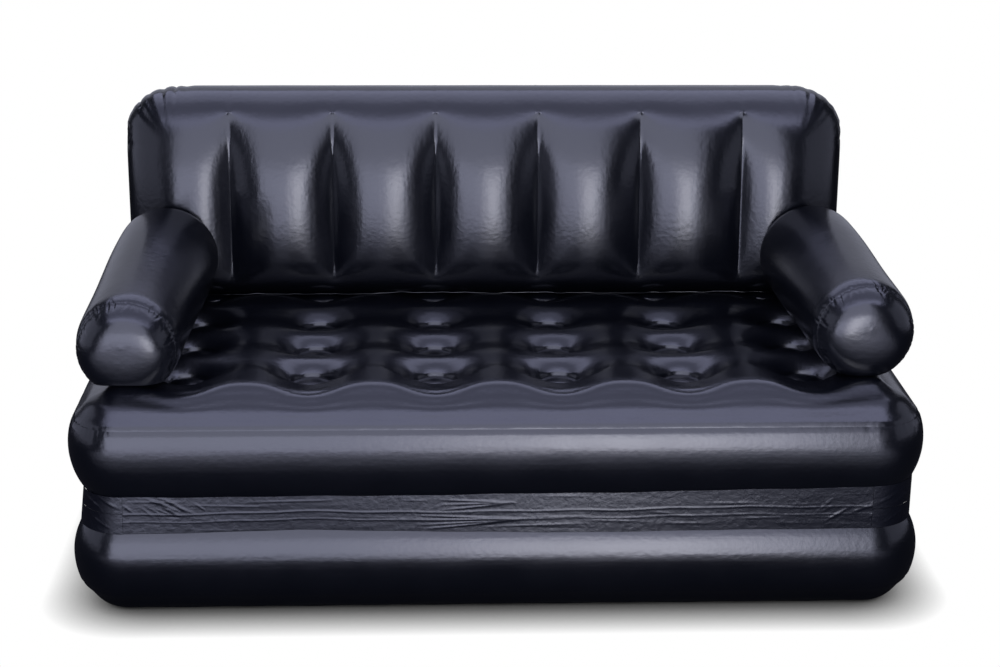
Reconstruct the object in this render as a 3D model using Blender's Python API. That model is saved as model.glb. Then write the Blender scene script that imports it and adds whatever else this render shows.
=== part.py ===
"""Fold-out inflatable sofa bed, built from welded film sheets. Metres, +Z up.

Two air mattresses lie on each other and are joined by a hinge strip along the
front. The lower one swings out and turns over to make a bed. A channelled
backrest and two round arms stand on the upper one. +X is the left of someone
sitting on it, -Y is the front, and the origin is on the floor.
"""
import math

import bmesh
import bpy
from mathutils import Matrix, Vector
from mathutils.geometry import tessellate_polygon

# Film, welds and the clearance that touching solids keep
film = 0.00045
clearance = 0.0003
lap = 0.010

# Mattresses: both have this size, and the lower one lies quilted side down
mattress_width = 1.510
mattress_depth = 0.940
layer_height = 0.206
corner_radius = 0.100
side_draw_in = 0.046
corner_steps = 3
long_steps = 6
short_steps = 4

# Side band outline from the plain seam to the quilt seam, as shares of
# side_draw_in and of layer_height
band_shares = ((1.0, 0.04), (0.52, 0.145), (0.0, 0.33), (0.0, 0.592), (0.22, 0.733))
roll_shares = ((0.48, 0.874), (0.92, 0.966), (1.44, 1.0))
plain_face_share = 1.35

# Quilt of round welds over the coil beams; the gaps are from the rolled edge
quilt_columns = 6
quilt_rows = 4
quilt_side_gap = 0.0243
quilt_front_gap = 0.043
quilt_rear_gap = 0.1445
weld_radius = 0.036
weld_depth = 0.028
weld_dome = 0.013
saddle_dip = 0.006
weld_points = 8

# Hinge strips: the slack film that joins the two mattresses at the front
strip_shares = ((0.56, 0.07), (0.52, 0.0))

# Backrest
tube_count = 7
back_side_inset = 0.045
back_side_overhang = 0.010
back_height = 0.401
back_setback = 0.225
web_depth = 0.200
web_foot = 0.0335
web_flange = 0.012
edge_roll = 0.110
back_corner_radius = 0.090
foot_half_depth = 0.070
foot_roll = 0.045
seam_flange = 0.006
floor_margin = 0.012
front_tube_shares = (-1.0, -0.75, -0.3, 0.3, 0.75, 1.0)
rear_tube_shares = (-1.0, -0.5, 0.5, 1.0)
side_column_shares = (0.42, 0.72, 0.92, 1.0)
foot_row_share = 0.35
shoulder_row_shares = (0.79, 0.455)
crest_row_share = 0.109

# Arms
arm_radius_rear = 0.098
arm_radius_front = 0.091
arm_neck_radius = 0.086
arm_press = 0.023
arm_side_inset = 0.015
arm_front_inset = 0.110
arm_toe_out = 0.020
arm_neck_length = 0.030
arm_dome = 0.048
arm_sides = 20
dome_shares = ((0.38, 0.90), (0.73, 0.66), (0.94, 0.34))

# Valves: a neck welded in the film, a one-way flap, a screw cap and its leash
valve_sides = 16
bore_radius = 0.0105
neck_wall = 0.0035
neck_length = 0.0150
stub_wall = 0.0025
stub_length = 0.0120
flange_width = 0.0110
flange_thickness = 0.0015
flap_thickness = 0.0012
cap_wall = 0.0042
cap_top = 0.0025
plug_length = 0.0050
leash_thickness = 0.0010
leash_width = 0.0070
eye_ring = 0.0030
button_stem = 0.0030
button_lip = 0.0018
button_thickness = 0.0015
mattress_valve_offset = 0.450
back_valve_tube = 5
back_valve_height = 0.150

# Worked out from the sizes above
cap_under = neck_length + clearance
button_under = cap_under + cap_top + leash_thickness + 2 * clearance
valve_reach = clearance + button_under + button_thickness
mattress_y = -valve_reach / 2
interface_z = layer_height + clearance / 2
seat_top_z = 2 * layer_height + clearance
rolled_inset = roll_shares[-1][0] * side_draw_in
column_pitch = (mattress_width - 2 * (rolled_inset + quilt_side_gap)) / quilt_columns
row_pitch = (mattress_depth - 2 * rolled_inset - quilt_front_gap - quilt_rear_gap) / quilt_rows
quilt_front_y = -mattress_depth / 2 + rolled_inset + quilt_front_gap
back_half_width = mattress_width / 2 - back_side_inset
tube_pitch = 2 * (back_half_width - back_side_overhang) / tube_count
bulge_radius = math.hypot(tube_pitch / 2, web_depth / 2)
back_y = mattress_y + mattress_depth / 2 - back_setback
back_foot_z = seat_top_z + clearance + film + clearance
last_tube_x = (tube_count - 1) / 2 * tube_pitch
web_head = edge_roll * (1 - tube_pitch / 2 / bulge_radius)
tube_face_depth = math.sqrt(bulge_radius ** 2 - (front_tube_shares[3] * tube_pitch / 2) ** 2)
arm_rear_y = back_y - tube_face_depth - clearance / 2 - film - clearance
arm_front_y = mattress_y - mattress_depth / 2 + arm_front_inset
valve_share = (band_shares[2][1] + band_shares[3][1]) / 2
valve_side_z = valve_share * layer_height
valve_flat = math.sqrt(bulge_radius ** 2 - (rear_tube_shares[2] * tube_pitch / 2) ** 2)
neck_radius = bore_radius + neck_wall
stub_radius = bore_radius + stub_wall
cap_radius = neck_radius + clearance + cap_wall


def clear_scene():
    for thing in list(bpy.data.objects):
        bpy.data.objects.remove(thing, do_unlink=True)


def make_material(name, colour, roughness):
    material = bpy.data.materials.new(name)
    material.use_nodes = True
    shader = material.node_tree.nodes["Principled BSDF"]
    shader.inputs["Base Color"].default_value = (*colour, 1.0)
    shader.inputs["Roughness"].default_value = roughness
    shader.inputs["Metallic"].default_value = 0.0
    return material


def new_object(name, bm, material, location=(0, 0, 0)):
    """Link a finished bmesh as an object, with its origin at location."""
    bm.transform(Matrix.Translation(-Vector(location)))
    mesh = bpy.data.meshes.new(name)
    bm.to_mesh(mesh)
    bm.free()
    mesh.shade_smooth()
    mesh.set_sharp_from_angle(angle=math.radians(35))
    mesh.materials.append(material)
    thing = bpy.data.objects.new(name, mesh)
    thing.location = location
    bpy.context.collection.objects.link(thing)
    return thing


def turn_out(bm, centre):
    """Turn an open sheet so that its faces look away from centre."""
    bm.normal_update()
    facing = sum(f.normal.dot(f.calc_center_median() - Vector(centre)) * f.calc_area() for f in bm.faces)
    if facing < 0:
        bmesh.ops.reverse_faces(bm, faces=bm.faces[:])


def give_film(sheet):
    """Give an open sheet the film's thickness, on its inner side."""
    solid = sheet.modifiers.new("Film", "SOLIDIFY")
    solid.thickness = film
    solid.offset = -1
    solid.use_even_offset = True
    return sheet


def bridge(bm, lower, upper, closed=True):
    """Join two rows of equally many vertices with quads."""
    count = len(lower)
    for i in range(count if closed else count - 1):
        j = (i + 1) % count
        bm.faces.new((lower[i], lower[j], upper[j], upper[i]))


def zip_loops(bm, outer, inner):
    """Join two closed loops of unlike counts that run the same way round."""
    start = min(range(len(inner)), key=lambda k: (inner[k].co - outer[0].co).length)
    inner = inner[start:] + inner[:start]
    i = j = 0
    while i < len(outer) or j < len(inner):
        a, b = outer[i % len(outer)], inner[j % len(inner)]
        next_a, next_b = outer[(i + 1) % len(outer)], inner[(j + 1) % len(inner)]
        step_outer = (next_a.co - b.co).length if i < len(outer) else math.inf
        step_inner = (next_b.co - a.co).length if j < len(inner) else math.inf
        if step_outer <= step_inner:
            bm.faces.new((a, next_a, b))
            i += 1
        else:
            bm.faces.new((a, next_b, b))
            j += 1


def mattress_outline(inset):
    """Rounded rectangle, from the right front corner round the front, clockwise from above."""
    half_x = mattress_width / 2 - corner_radius
    half_y = mattress_depth / 2 - corner_radius
    radius = corner_radius - inset
    corners = ((half_x, -half_y, 0), (-half_x, -half_y, -90), (-half_x, half_y, -180), (half_x, half_y, -270))
    steps = (long_steps, short_steps, long_steps, short_steps)
    points = []
    for k, (x, y, start) in enumerate(corners):
        for i in range(corner_steps + 1):
            angle = math.radians(start - 90 * i / corner_steps)
            points.append(Vector((x + radius * math.cos(angle), y + radius * math.sin(angle))))
        end = math.radians(start - 90)
        following = corners[(k + 1) % 4]
        goal = Vector((following[0] + radius * math.cos(end), following[1] + radius * math.sin(end)))
        last = points[-1]
        points += [last.lerp(goal, i / steps[k]) for i in range(1, steps[k])]
    return points


def layer_point(x, y, height, side):
    """Place a point of a mattress: side 1 is the seat, -1 the base, and height is from the plain face."""
    return Vector((x, mattress_y + y, interface_z + side * (height + clearance / 2)))


def layer_ring(bm, place, side):
    inset, height = place
    return [bm.verts.new(layer_point(p.x, p.y, height, side)) for p in mattress_outline(inset)]


def station(shares):
    """A place on the side outline, as inset and height, from its shares."""
    return Vector((shares[0] * side_draw_in, shares[1] * layer_height))


def lapped(seam, towards, reach):
    """Two stations lying over the band from its seam: the lap's free edge and the seam."""
    run = (towards - seam).normalized()
    normal = Vector((-run.y, run.x))
    if normal.x > 0:
        normal.negate()
    lift = normal * (film + clearance)
    return [seam + run * reach + lift, seam + lift]


def layer_centre(side):
    """Middle of a mattress."""
    return layer_point(0, 0, layer_height / 2, side)


def side_band(name, side, material):
    """The film round a mattress's sides, from its plain seam to its quilt seam."""
    bm = bmesh.new()
    rings = [layer_ring(bm, station(s), side) for s in band_shares]
    for lower, upper in zip(rings, rings[1:]):
        bridge(bm, lower, upper)
    turn_out(bm, layer_centre(side))
    return give_film(new_object(name, bm, material))


def plain_sheet(name, side, material):
    """The flat face between the mattresses, with its rim lapped over the side band."""
    bm = bmesh.new()
    seam, towards = station(band_shares[0]), station(band_shares[1])
    stations = lapped(seam, towards, lap) + [Vector((plain_face_share * side_draw_in, 0))]
    rings = [layer_ring(bm, s, side) for s in stations]
    for lower, upper in zip(rings, rings[1:]):
        bridge(bm, lower, upper)
    bm.faces.new(rings[-1])
    turn_out(bm, layer_centre(side))
    return give_film(new_object(name, bm, material))


def quilt_cell_points(column, row):
    """Middle of a quilt cell, and its eight edge points as (x, y) steps from the middle."""
    x = (column - (quilt_columns - 1) / 2) * column_pitch
    y = quilt_front_y + (row + 0.5) * row_pitch
    half_x, half_y = column_pitch / 2, row_pitch / 2
    steps = ((1, 0), (1, 1), (0, 1), (-1, 1), (-1, 0), (-1, -1), (0, -1), (1, -1))
    return x, y, [(sx * half_x, sy * half_y) for sx, sy in steps]


def quilt_sheet(name, side, material):
    """The quilted face: round welds over the coil beams, each with its small dome."""
    bm = bmesh.new()
    seam, towards = station(band_shares[-1]), station(band_shares[-2])
    stations = lapped(seam, towards, lap) + [station(s) for s in roll_shares]
    rings = [layer_ring(bm, s, side) for s in stations]
    for lower, upper in zip(rings, rings[1:]):
        bridge(bm, lower, upper)
    corners = {}

    def edge_vertex(column, row, k, x, y):
        steps = ((2, 1), (2, 2), (1, 2), (0, 2), (0, 1), (0, 0), (1, 0), (2, 0))
        key = (2 * column + steps[k][0], 2 * row + steps[k][1])
        if key not in corners:
            inside = 0 < key[0] < 2 * quilt_columns and 0 < key[1] < 2 * quilt_rows
            dip = saddle_dip if k % 2 == 0 and inside else 0
            corners[key] = bm.verts.new(layer_point(x, y, layer_height - dip, side))
        return corners[key]

    for column in range(quilt_columns):
        for row in range(quilt_rows):
            x, y, steps = quilt_cell_points(column, row)
            outer = [edge_vertex(column, row, k, x + sx, y + sy) for k, (sx, sy) in enumerate(steps)]
            weld = []
            for k in range(weld_points):
                angle = 2 * math.pi * k / weld_points
                place = (x + weld_radius * math.cos(angle), y + weld_radius * math.sin(angle))
                weld.append(bm.verts.new(layer_point(*place, layer_height - weld_depth, side)))
            top = bm.verts.new(layer_point(x, y, layer_height - weld_depth + weld_dome, side))
            bridge(bm, outer, weld)
            for k in range(weld_points):
                bm.faces.new((weld[k], weld[(k + 1) % weld_points], top))
    far_column, far_row = 2 * quilt_columns, 2 * quilt_rows
    border = [corners[(far_column, r)] for r in range(far_row, 0, -1)]
    border += [corners[(c, 0)] for c in range(far_column, 0, -1)]
    border += [corners[(0, r)] for r in range(far_row)]
    border += [corners[(c, far_row)] for c in range(far_column)]
    zip_loops(bm, rings[-1], border)
    bmesh.ops.recalc_face_normals(bm, faces=bm.faces[:])
    turn_out(bm, layer_centre(side))
    return give_film(new_object(name, bm, material))


def coil_row_loops():
    """Plan of one row of coil beams: a film strip that is looped into a round coil under each weld."""
    middles = [(c - (quilt_columns - 1) / 2) * column_pitch for c in range(quilt_columns)]
    step = 2 * math.pi / weld_points
    touch = weld_radius - film / 2 * math.tan(step / 2)

    def arc(x, radius, first, last):
        return [(x + radius * math.cos(step * k), radius * math.sin(step * k)) for k in range(first, last)]

    half = weld_points // 2
    front = []
    rear = []
    for i, x in enumerate(middles):
        front += [(x - weld_radius, 0)] if i == 0 else [(x - touch, -film / 2)]
        front += arc(x, weld_radius, half + 1, weld_points)
        front += [(x + weld_radius, 0)] if i == len(middles) - 1 else [(x + touch, -film / 2)]
    for i, x in reversed(list(enumerate(middles))):
        rear += [] if i == len(middles) - 1 else [(x + touch, film / 2)]
        rear += arc(x, weld_radius, 1, half)
        rear += [] if i == 0 else [(x - touch, film / 2)]
    holes = [arc(x, weld_radius - film, 0, weld_points) for x in middles]
    return [front + rear] + holes


def coil_row(name, row, side, material):
    """One row of coil beams, standing between the plain sheet and the welds."""
    bm = bmesh.new()
    y = quilt_front_y + (row + 0.5) * row_pitch
    low = film + 2 * clearance
    high = layer_height - weld_depth - film - 2 * clearance
    loops = coil_row_loops()
    flat = [[Vector((px, py, 0)) for px, py in loop] for loop in loops]
    triangles = tessellate_polygon(flat)
    floor = [[bm.verts.new(layer_point(px, y + py, low, side)) for px, py in loop] for loop in loops]
    roof = [[bm.verts.new(layer_point(px, y + py, high, side)) for px, py in loop] for loop in loops]
    for lower, upper in zip(floor, roof):
        bridge(bm, lower, upper)
    for layer in (floor, roof):
        vertices = [v for loop in layer for v in loop]
        for triangle in triangles:
            bm.faces.new([vertices[k] for k in triangle])
    bmesh.ops.recalc_face_normals(bm, faces=bm.faces[:])
    return new_object(name, bm, material)


def hinge_strip(name, side, material):
    """Half of the front hinge: welded over the side band, it hangs to the fold between the mattresses."""
    bm = bmesh.new()
    seam, towards = station(band_shares[1]), station(band_shares[2])
    stations = lapped(seam, towards, lap) + [station(s) for s in strip_shares]
    wrap = 2 * corner_steps + long_steps + 1
    rings = []
    for inset, height in stations:
        points = mattress_outline(inset)[:wrap]
        rings.append([bm.verts.new(layer_point(p.x, p.y, height, side)) for p in points])
    for lower, upper in zip(rings, rings[1:]):
        bridge(bm, lower, upper, closed=False)
    turn_out(bm, layer_centre(side))
    return give_film(new_object(name, bm, material))


def build_mattress(prefix, side, plain_name, quilt_name, material):
    """Sheets and coil rows of one mattress; gives back its side band, which a valve pierces."""
    band = side_band(prefix + "_side_band", side, material)
    plain_sheet(prefix + plain_name, side, material)
    quilt_sheet(prefix + quilt_name, side, material)
    for row in range(quilt_rows):
        coil_row("%s_coil_row_%d" % (prefix, row + 1), row, side, material)
    return band


def edge_distance(x, z):
    """Distance from a point of the backrest to its side and top outline; z is from the foot."""
    across = back_half_width - abs(x)
    below = back_height - z
    if across < back_corner_radius and below < back_corner_radius:
        reach = math.hypot(back_corner_radius - across, back_corner_radius - below)
        return max(back_corner_radius - reach, 0.0)
    return max(min(across, below), 0.0)


def outline_top(x):
    """Height of the backrest's outline above its foot at x."""
    into_corner = abs(x) - (back_half_width - back_corner_radius)
    if into_corner <= 0:
        return back_height
    return back_height - back_corner_radius + math.sqrt(max(back_corner_radius ** 2 - into_corner ** 2, 0.0))


def rolled(distance, reach, low, high):
    """Height of a quarter ellipse that climbs from low to high over reach."""
    share = min(distance / reach, 1.0)
    return low + (high - low) * math.sqrt(1 - (1 - share) ** 2)


def half_depth(x, z):
    """Distance of the backrest's film from its middle plane, at height z over the foot."""
    if abs(x) >= last_tube_x:
        channel = tube_face_depth
    else:
        tube = round(x / tube_pitch + (tube_count - 1) / 2) - (tube_count - 1) / 2
        channel = math.sqrt(bulge_radius ** 2 - (x - tube * tube_pitch) ** 2)
    foot = rolled(z, foot_roll, foot_half_depth, bulge_radius)
    edge = rolled(edge_distance(x, z), edge_roll, 0.0, bulge_radius)
    return min(channel, foot, edge)


def back_columns(tube_shares):
    """The x of each column of vertices: each tube's shares, and the outer sides' own."""
    columns = []
    side_run = tube_pitch / 2 + back_side_overhang
    for tube in range(tube_count):
        x = (tube - (tube_count - 1) / 2) * tube_pitch
        columns += [x + share * tube_pitch / 2 for share in tube_shares[:-1]]
    sides = [last_tube_x + share * side_run for share in side_column_shares]
    inner = [x for x in columns if abs(x) < sides[0]]
    return [-x for x in reversed(sides)] + inner + sides


def back_rows():
    """The heights over the foot of the rows, at the tubes' full height."""
    shoulders = [back_height - share * edge_roll for share in shoulder_row_shares]
    crest = back_height - crest_row_share * edge_roll
    rows = [0.0, foot_row_share * web_foot, web_foot] + shoulders
    return rows + [back_height - web_head, crest, back_height]


def back_sheet(name, facing, tube_shares, material):
    """Front (facing -1) or rear (facing 1) film of the backrest, with a flange round its seam."""
    bm = bmesh.new()
    columns, rows = back_columns(tube_shares), back_rows()
    grid = []
    for height in rows:
        line = []
        for x in columns:
            z = height / back_height * outline_top(x)
            depth = half_depth(x, z) + clearance / 2 + film
            line.append(bm.verts.new((x, back_y + facing * depth, back_foot_z + z)))
        grid.append(line)
    for lower, upper in zip(grid, grid[1:]):
        bridge(bm, lower, upper, closed=False)
    seam = [line[0] for line in grid] + grid[-1][1:] + [line[-1] for line in grid[-2::-1]]
    flange = []
    for i, vertex in enumerate(seam):
        before, after = seam[max(i - 1, 0)].co, seam[min(i + 1, len(seam) - 1)].co
        run = (after - before).normalized()
        outward = Vector((-run.z, 0, run.x))
        if i in (0, len(seam) - 1):
            outward = Vector((math.copysign(1, vertex.co.x), 0, 0))
        flange.append(bm.verts.new(vertex.co + outward * seam_flange))
    bridge(bm, seam, flange, closed=False)
    bmesh.ops.recalc_face_normals(bm, faces=bm.faces[:])
    turn_out(bm, (0, back_y - facing * bulge_radius, back_foot_z + back_height / 2))
    return give_film(new_object(name, bm, material))


def back_floor(name, material):
    """Flat sheet that closes the backrest at its foot and is welded to the seat."""
    bm = bmesh.new()
    half_y = foot_half_depth + floor_margin
    plan = ((back_half_width, floor_margin), (back_half_width - edge_roll, half_y))
    points = [(x, y) for x, y in plan] + [(-x, y) for x, y in reversed(plan)]
    points += [(-x, -y) for x, y in plan] + [(x, -y) for x, y in reversed(plan)]
    low = seat_top_z + clearance
    face = bm.faces.new([bm.verts.new((x, back_y + y, low)) for x, y in points])
    lifted = bmesh.ops.extrude_face_region(bm, geom=[face])["geom"]
    bmesh.ops.translate(bm, vec=(0, 0, film), verts=[v for v in lifted if isinstance(v, bmesh.types.BMVert)])
    bmesh.ops.recalc_face_normals(bm, faces=bm.faces[:])
    return new_object(name, bm, material)


def back_web(name, x, material):
    """I-shaped film beam between two tubes; its flanges are welded to the front and rear films."""
    bm = bmesh.new()
    reach = web_depth / 2 - clearance
    half = film / 2
    quarter = ((half, reach - film), (web_flange / 2, reach - film), (web_flange / 2, reach))
    outline = [(px, py) for px, py in quarter] + [(-px, py) for px, py in reversed(quarter)]
    outline += [(-px, -py) for px, py in quarter] + [(px, -py) for px, py in reversed(quarter)]
    foot = back_foot_z + web_foot + clearance
    head = back_foot_z + back_height - web_head - clearance
    lower = [bm.verts.new((x + px, back_y + py, foot)) for px, py in outline]
    upper = [bm.verts.new((x + px, back_y + py, head)) for px, py in outline]
    bridge(bm, lower, upper)
    for ends in (lower, upper):
        bm.faces.new((ends[0], ends[1], ends[2], ends[3], ends[4], ends[5]))
        bm.faces.new((ends[6], ends[7], ends[8], ends[9], ends[10], ends[11]))
        bm.faces.new((ends[0], ends[5], ends[6], ends[11]))
    bmesh.ops.recalc_face_normals(bm, faces=bm.faces[:])
    return new_object(name, bm, material)


def build_back(material):
    """The backrest's sheets and webs; gives back the rear sheet, which a valve pierces."""
    back_sheet("back_front_sheet", -1, front_tube_shares, material)
    rear = back_sheet("back_rear_sheet", 1, rear_tube_shares, material)
    back_floor("back_floor_sheet", material)
    for k in range(tube_count - 1):
        back_web("back_web_%d" % (k + 1), (k + 1 - tube_count / 2) * tube_pitch, material)
    return rear


def arm_ring(bm, side, y, radius, lift):
    """Ring of an arm in the plane y, pressed flatter on the seat towards its front."""
    share = (arm_rear_y - y) / (arm_rear_y - arm_front_y)
    middle_x = back_half_width + arm_side_inset - arm_radius_rear + arm_toe_out * share
    press_radius = arm_radius_rear + (arm_radius_front - arm_radius_rear) * share
    floor = seat_top_z + lift
    middle_z = seat_top_z + press_radius - arm_press * share
    ring = []
    for k in range(arm_sides):
        angle = 2 * math.pi * (k + 0.5) / arm_sides
        z = max(middle_z + radius * math.sin(angle), floor)
        ring.append(bm.verts.new((side * (middle_x + radius * math.cos(angle)), y, z)))
    return ring


def ring_middle(ring):
    return sum((v.co for v in ring), Vector()) / len(ring)


def arm_tube(name, side, material):
    """The arm's long film tube, drawn in to a neck at its front end."""
    bm = bmesh.new()
    rear_y = arm_rear_y - film - clearance
    stations = ((rear_y, arm_radius_rear), ((rear_y + arm_front_y) / 2, arm_radius_rear),
                (arm_front_y + arm_neck_length, arm_radius_front), (arm_front_y + lap, arm_neck_radius),
                (arm_front_y, arm_neck_radius))
    rings = [arm_ring(bm, side, y, radius, film + 2 * clearance) for y, radius in stations]
    for lower, upper in zip(rings, rings[1:]):
        bridge(bm, lower, upper)
    turn_out(bm, ring_middle(rings[1]))
    return give_film(new_object(name, bm, material))


def arm_cap(name, side, end_y, radius, dome, shares, material):
    """End sheet of an arm: its rim is lapped over the tube, and it domes by dome towards -Y."""
    bm = bmesh.new()
    lap_y = end_y + lap if dome > 0 else end_y - lap
    rim = radius + film + clearance
    stations = [(lap_y, rim), (end_y, rim)] + [(end_y - dome * d, radius * r) for d, r in shares]
    rings = [arm_ring(bm, side, y, reach, clearance) for y, reach in stations]
    for lower, upper in zip(rings, rings[1:]):
        bridge(bm, lower, upper)
    if dome > 0:
        middle = ring_middle(rings[-1])
        tip = bm.verts.new((middle.x, end_y - dome, middle.z))
        for k in range(arm_sides):
            bm.faces.new((rings[-1][k], rings[-1][(k + 1) % arm_sides], tip))
    else:
        bm.faces.new(rings[-1])
    turn_out(bm, ring_middle(rings[0]))
    return give_film(new_object(name, bm, material))


def build_arm(prefix, side, material):
    """An arm of a tube and its two end sheets."""
    arm_tube(prefix + "_tube", side, material)
    arm_cap(prefix + "_front_cap", side, arm_front_y - film - clearance, arm_neck_radius, arm_dome,
            dome_shares, material)
    arm_cap(prefix + "_rear_cap", side, arm_rear_y, arm_radius_rear, 0, (), material)


def turned(profile, sides, axis_point):
    """Solid turned about the Y line through axis_point; profile is a loop of (radius, reach along +Y)."""
    bm = bmesh.new()
    rings = []
    for radius, reach in profile:
        if radius == 0:
            rings.append([bm.verts.new(axis_point + Vector((0, reach, 0)))])
            continue
        ring = []
        for k in range(sides):
            angle = 2 * math.pi * (k + 0.5) / sides
            spoke = Vector((radius * math.cos(angle), reach, radius * math.sin(angle)))
            ring.append(bm.verts.new(axis_point + spoke))
        rings.append(ring)
    pairs = list(zip(rings, rings[1:]))
    if len(rings[0]) > 1:
        pairs.append((rings[-1], rings[0]))
    for one, two in pairs:
        if len(one) == 1 or len(two) == 1:
            tip, ring = (one[0], two) if len(one) == 1 else (two[0], one)
            for k in range(sides):
                bm.faces.new((ring[k], ring[(k + 1) % sides], tip))
        else:
            bridge(bm, one, two)
    bmesh.ops.recalc_face_normals(bm, faces=bm.faces[:])
    return bm


def cut(target, cutter, operation):
    """Boolean with a helper object, which the build leaves out."""
    cutter.hide_render = True
    cutter.display_type = "WIRE"
    boolean = target.modifiers.new(cutter.name, "BOOLEAN")
    boolean.operation = operation
    boolean.solver = "EXACT"
    boolean.object = cutter


def block(low, high):
    """Box between two corners; the cube's edge is one unit, which the corners replace."""
    bm = bmesh.new()
    bmesh.ops.create_cube(bm, size=1)
    for v in bm.verts:
        v.co = Vector(low[k] if v.co[k] < 0 else high[k] for k in range(3))
    return bm


def valve_neck(name, seat, material):
    """Moulded neck, its flange on the film's outer face and its stub through the film."""
    flange = neck_radius + flange_width
    loop = ((bore_radius, -stub_length), (bore_radius, neck_length), (neck_radius, neck_length),
            (neck_radius, flange_thickness), (flange, flange_thickness), (flange, 0),
            (stub_radius, 0), (stub_radius, -stub_length))
    return new_object(name, turned(loop, valve_sides, seat), material)


def valve_flap(name, seat, material):
    """One-way disc behind the stub; its origin is on its hinge line, at its upper edge."""
    outer = -stub_length - clearance
    inner = outer - flap_thickness
    loop = ((0, outer), (stub_radius, outer), (stub_radius, inner), (0, inner))
    hinge = seat + Vector((0, outer, stub_radius))
    return new_object(name, turned(loop, valve_sides, seat), material, hinge)


def valve_cap(name, seat, material):
    """Screw cap with a plug, and a button on top that its leash is clipped round."""
    skirt = flange_thickness + leash_thickness + 2 * clearance
    top = cap_under + cap_top
    tip = cap_under - plug_length
    inner = neck_radius + clearance
    plug = bore_radius - clearance
    head = button_stem + button_lip
    loop = ((0, tip), (plug, tip), (plug, cap_under), (inner, cap_under), (inner, skirt), (cap_radius, skirt),
            (cap_radius, top), (button_stem, top), (button_stem, button_under), (head, button_under),
            (head, button_under + button_thickness), (0, button_under + button_thickness))
    return new_object(name, turned(loop, valve_sides, seat), material, seat)


def valve_leash(name, seat, material):
    """Strap from a ring round the neck to an eye round the cap's button."""
    low = flange_thickness + clearance
    high = cap_under + cap_top + clearance
    half = leash_width / 2
    outside = cap_radius + clearance

    def ring(hole, wall, start, label):
        loop = ((hole, start), (hole + wall, start), (hole + wall, start + leash_thickness),
                (hole, start + leash_thickness))
        return new_object(label, turned(loop, valve_sides, seat), material)

    ring_hole = neck_radius + clearance
    eye_hole = button_stem + clearance
    leash = ring(ring_hole, eye_ring, low, name)
    eye = ring(eye_hole, eye_ring, high, name + "_eye_helper")
    far = outside + leash_thickness
    lower = block((ring_hole + eye_ring / 2, low, -half), (far, low + leash_thickness, half))
    upper = block((eye_hole + eye_ring / 2, high, -half), (far, high + leash_thickness, half))
    riser = block((outside, low, -half), (far, high + leash_thickness, half))
    for part, label in ((lower, "_lower_helper"), (riser, "_riser_helper"), (upper, "_upper_helper")):
        part.transform(Matrix.Translation(seat))
        cut(leash, new_object(name + label, part, material), "UNION")
    cut(leash, eye, "UNION")
    return leash


def build_valve(prefix, point, carrier, materials):
    """Valve whose flange lies on the film at point; carrier is the sheet that it is welded in."""
    seat = Vector(point) + Vector((0, clearance, 0))
    valve_neck(prefix + "_neck", seat, materials["valve"])
    valve_flap(prefix + "_flap", seat, materials["flap"])
    valve_cap(prefix + "_cap", seat, materials["valve"])
    valve_leash(prefix + "_leash", seat, materials["valve"])
    hole_radius = stub_radius + clearance
    hole = ((0, -stub_length), (hole_radius, -stub_length), (hole_radius, stub_length), (0, stub_length))
    punch = new_object(prefix + "_hole_helper", turned(hole, valve_sides, seat), materials["film"])
    cut(carrier, punch, "DIFFERENCE")


def build_valves(base_band, seat_band, back_rear, materials):
    """One valve for each air chamber, all on the rear side."""
    rear_y = mattress_y + mattress_depth / 2
    base_z = interface_z - clearance / 2 - valve_side_z
    seat_z = interface_z + clearance / 2 + valve_side_z
    build_valve("base_valve", (-mattress_valve_offset, rear_y, base_z), base_band, materials)
    build_valve("seat_valve", (mattress_valve_offset, rear_y, seat_z), seat_band, materials)
    tube_x = (back_valve_tube - (tube_count - 1) / 2) * tube_pitch
    back_rear_y = back_y + valve_flat + film + clearance / 2
    build_valve("back_valve", (tube_x, back_rear_y, back_foot_z + back_valve_height), back_rear, materials)


clear_scene()
materials = {
    "film": make_material("black_vinyl_film", (0.012, 0.012, 0.016), 0.22),
    "valve": make_material("black_valve_plastic", (0.020, 0.020, 0.022), 0.35),
    "flap": make_material("clear_flap_rubber", (0.55, 0.55, 0.52), 0.40),
}
base_band = build_mattress("base", -1, "_top_sheet", "_bottom_sheet", materials["film"])
seat_band = build_mattress("seat", 1, "_bottom_sheet", "_top_sheet", materials["film"])
hinge_strip("hinge_strip_upper", 1, materials["film"])
hinge_strip("hinge_strip_lower", -1, materials["film"])
back_rear = build_back(materials["film"])
build_arm("arm_left", 1, materials["film"])
build_arm("arm_right", -1, materials["film"])
build_valves(base_band, seat_band, back_rear, materials)
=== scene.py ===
import math

import bpy
import numpy as np
from mathutils import Matrix, Vector


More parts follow.
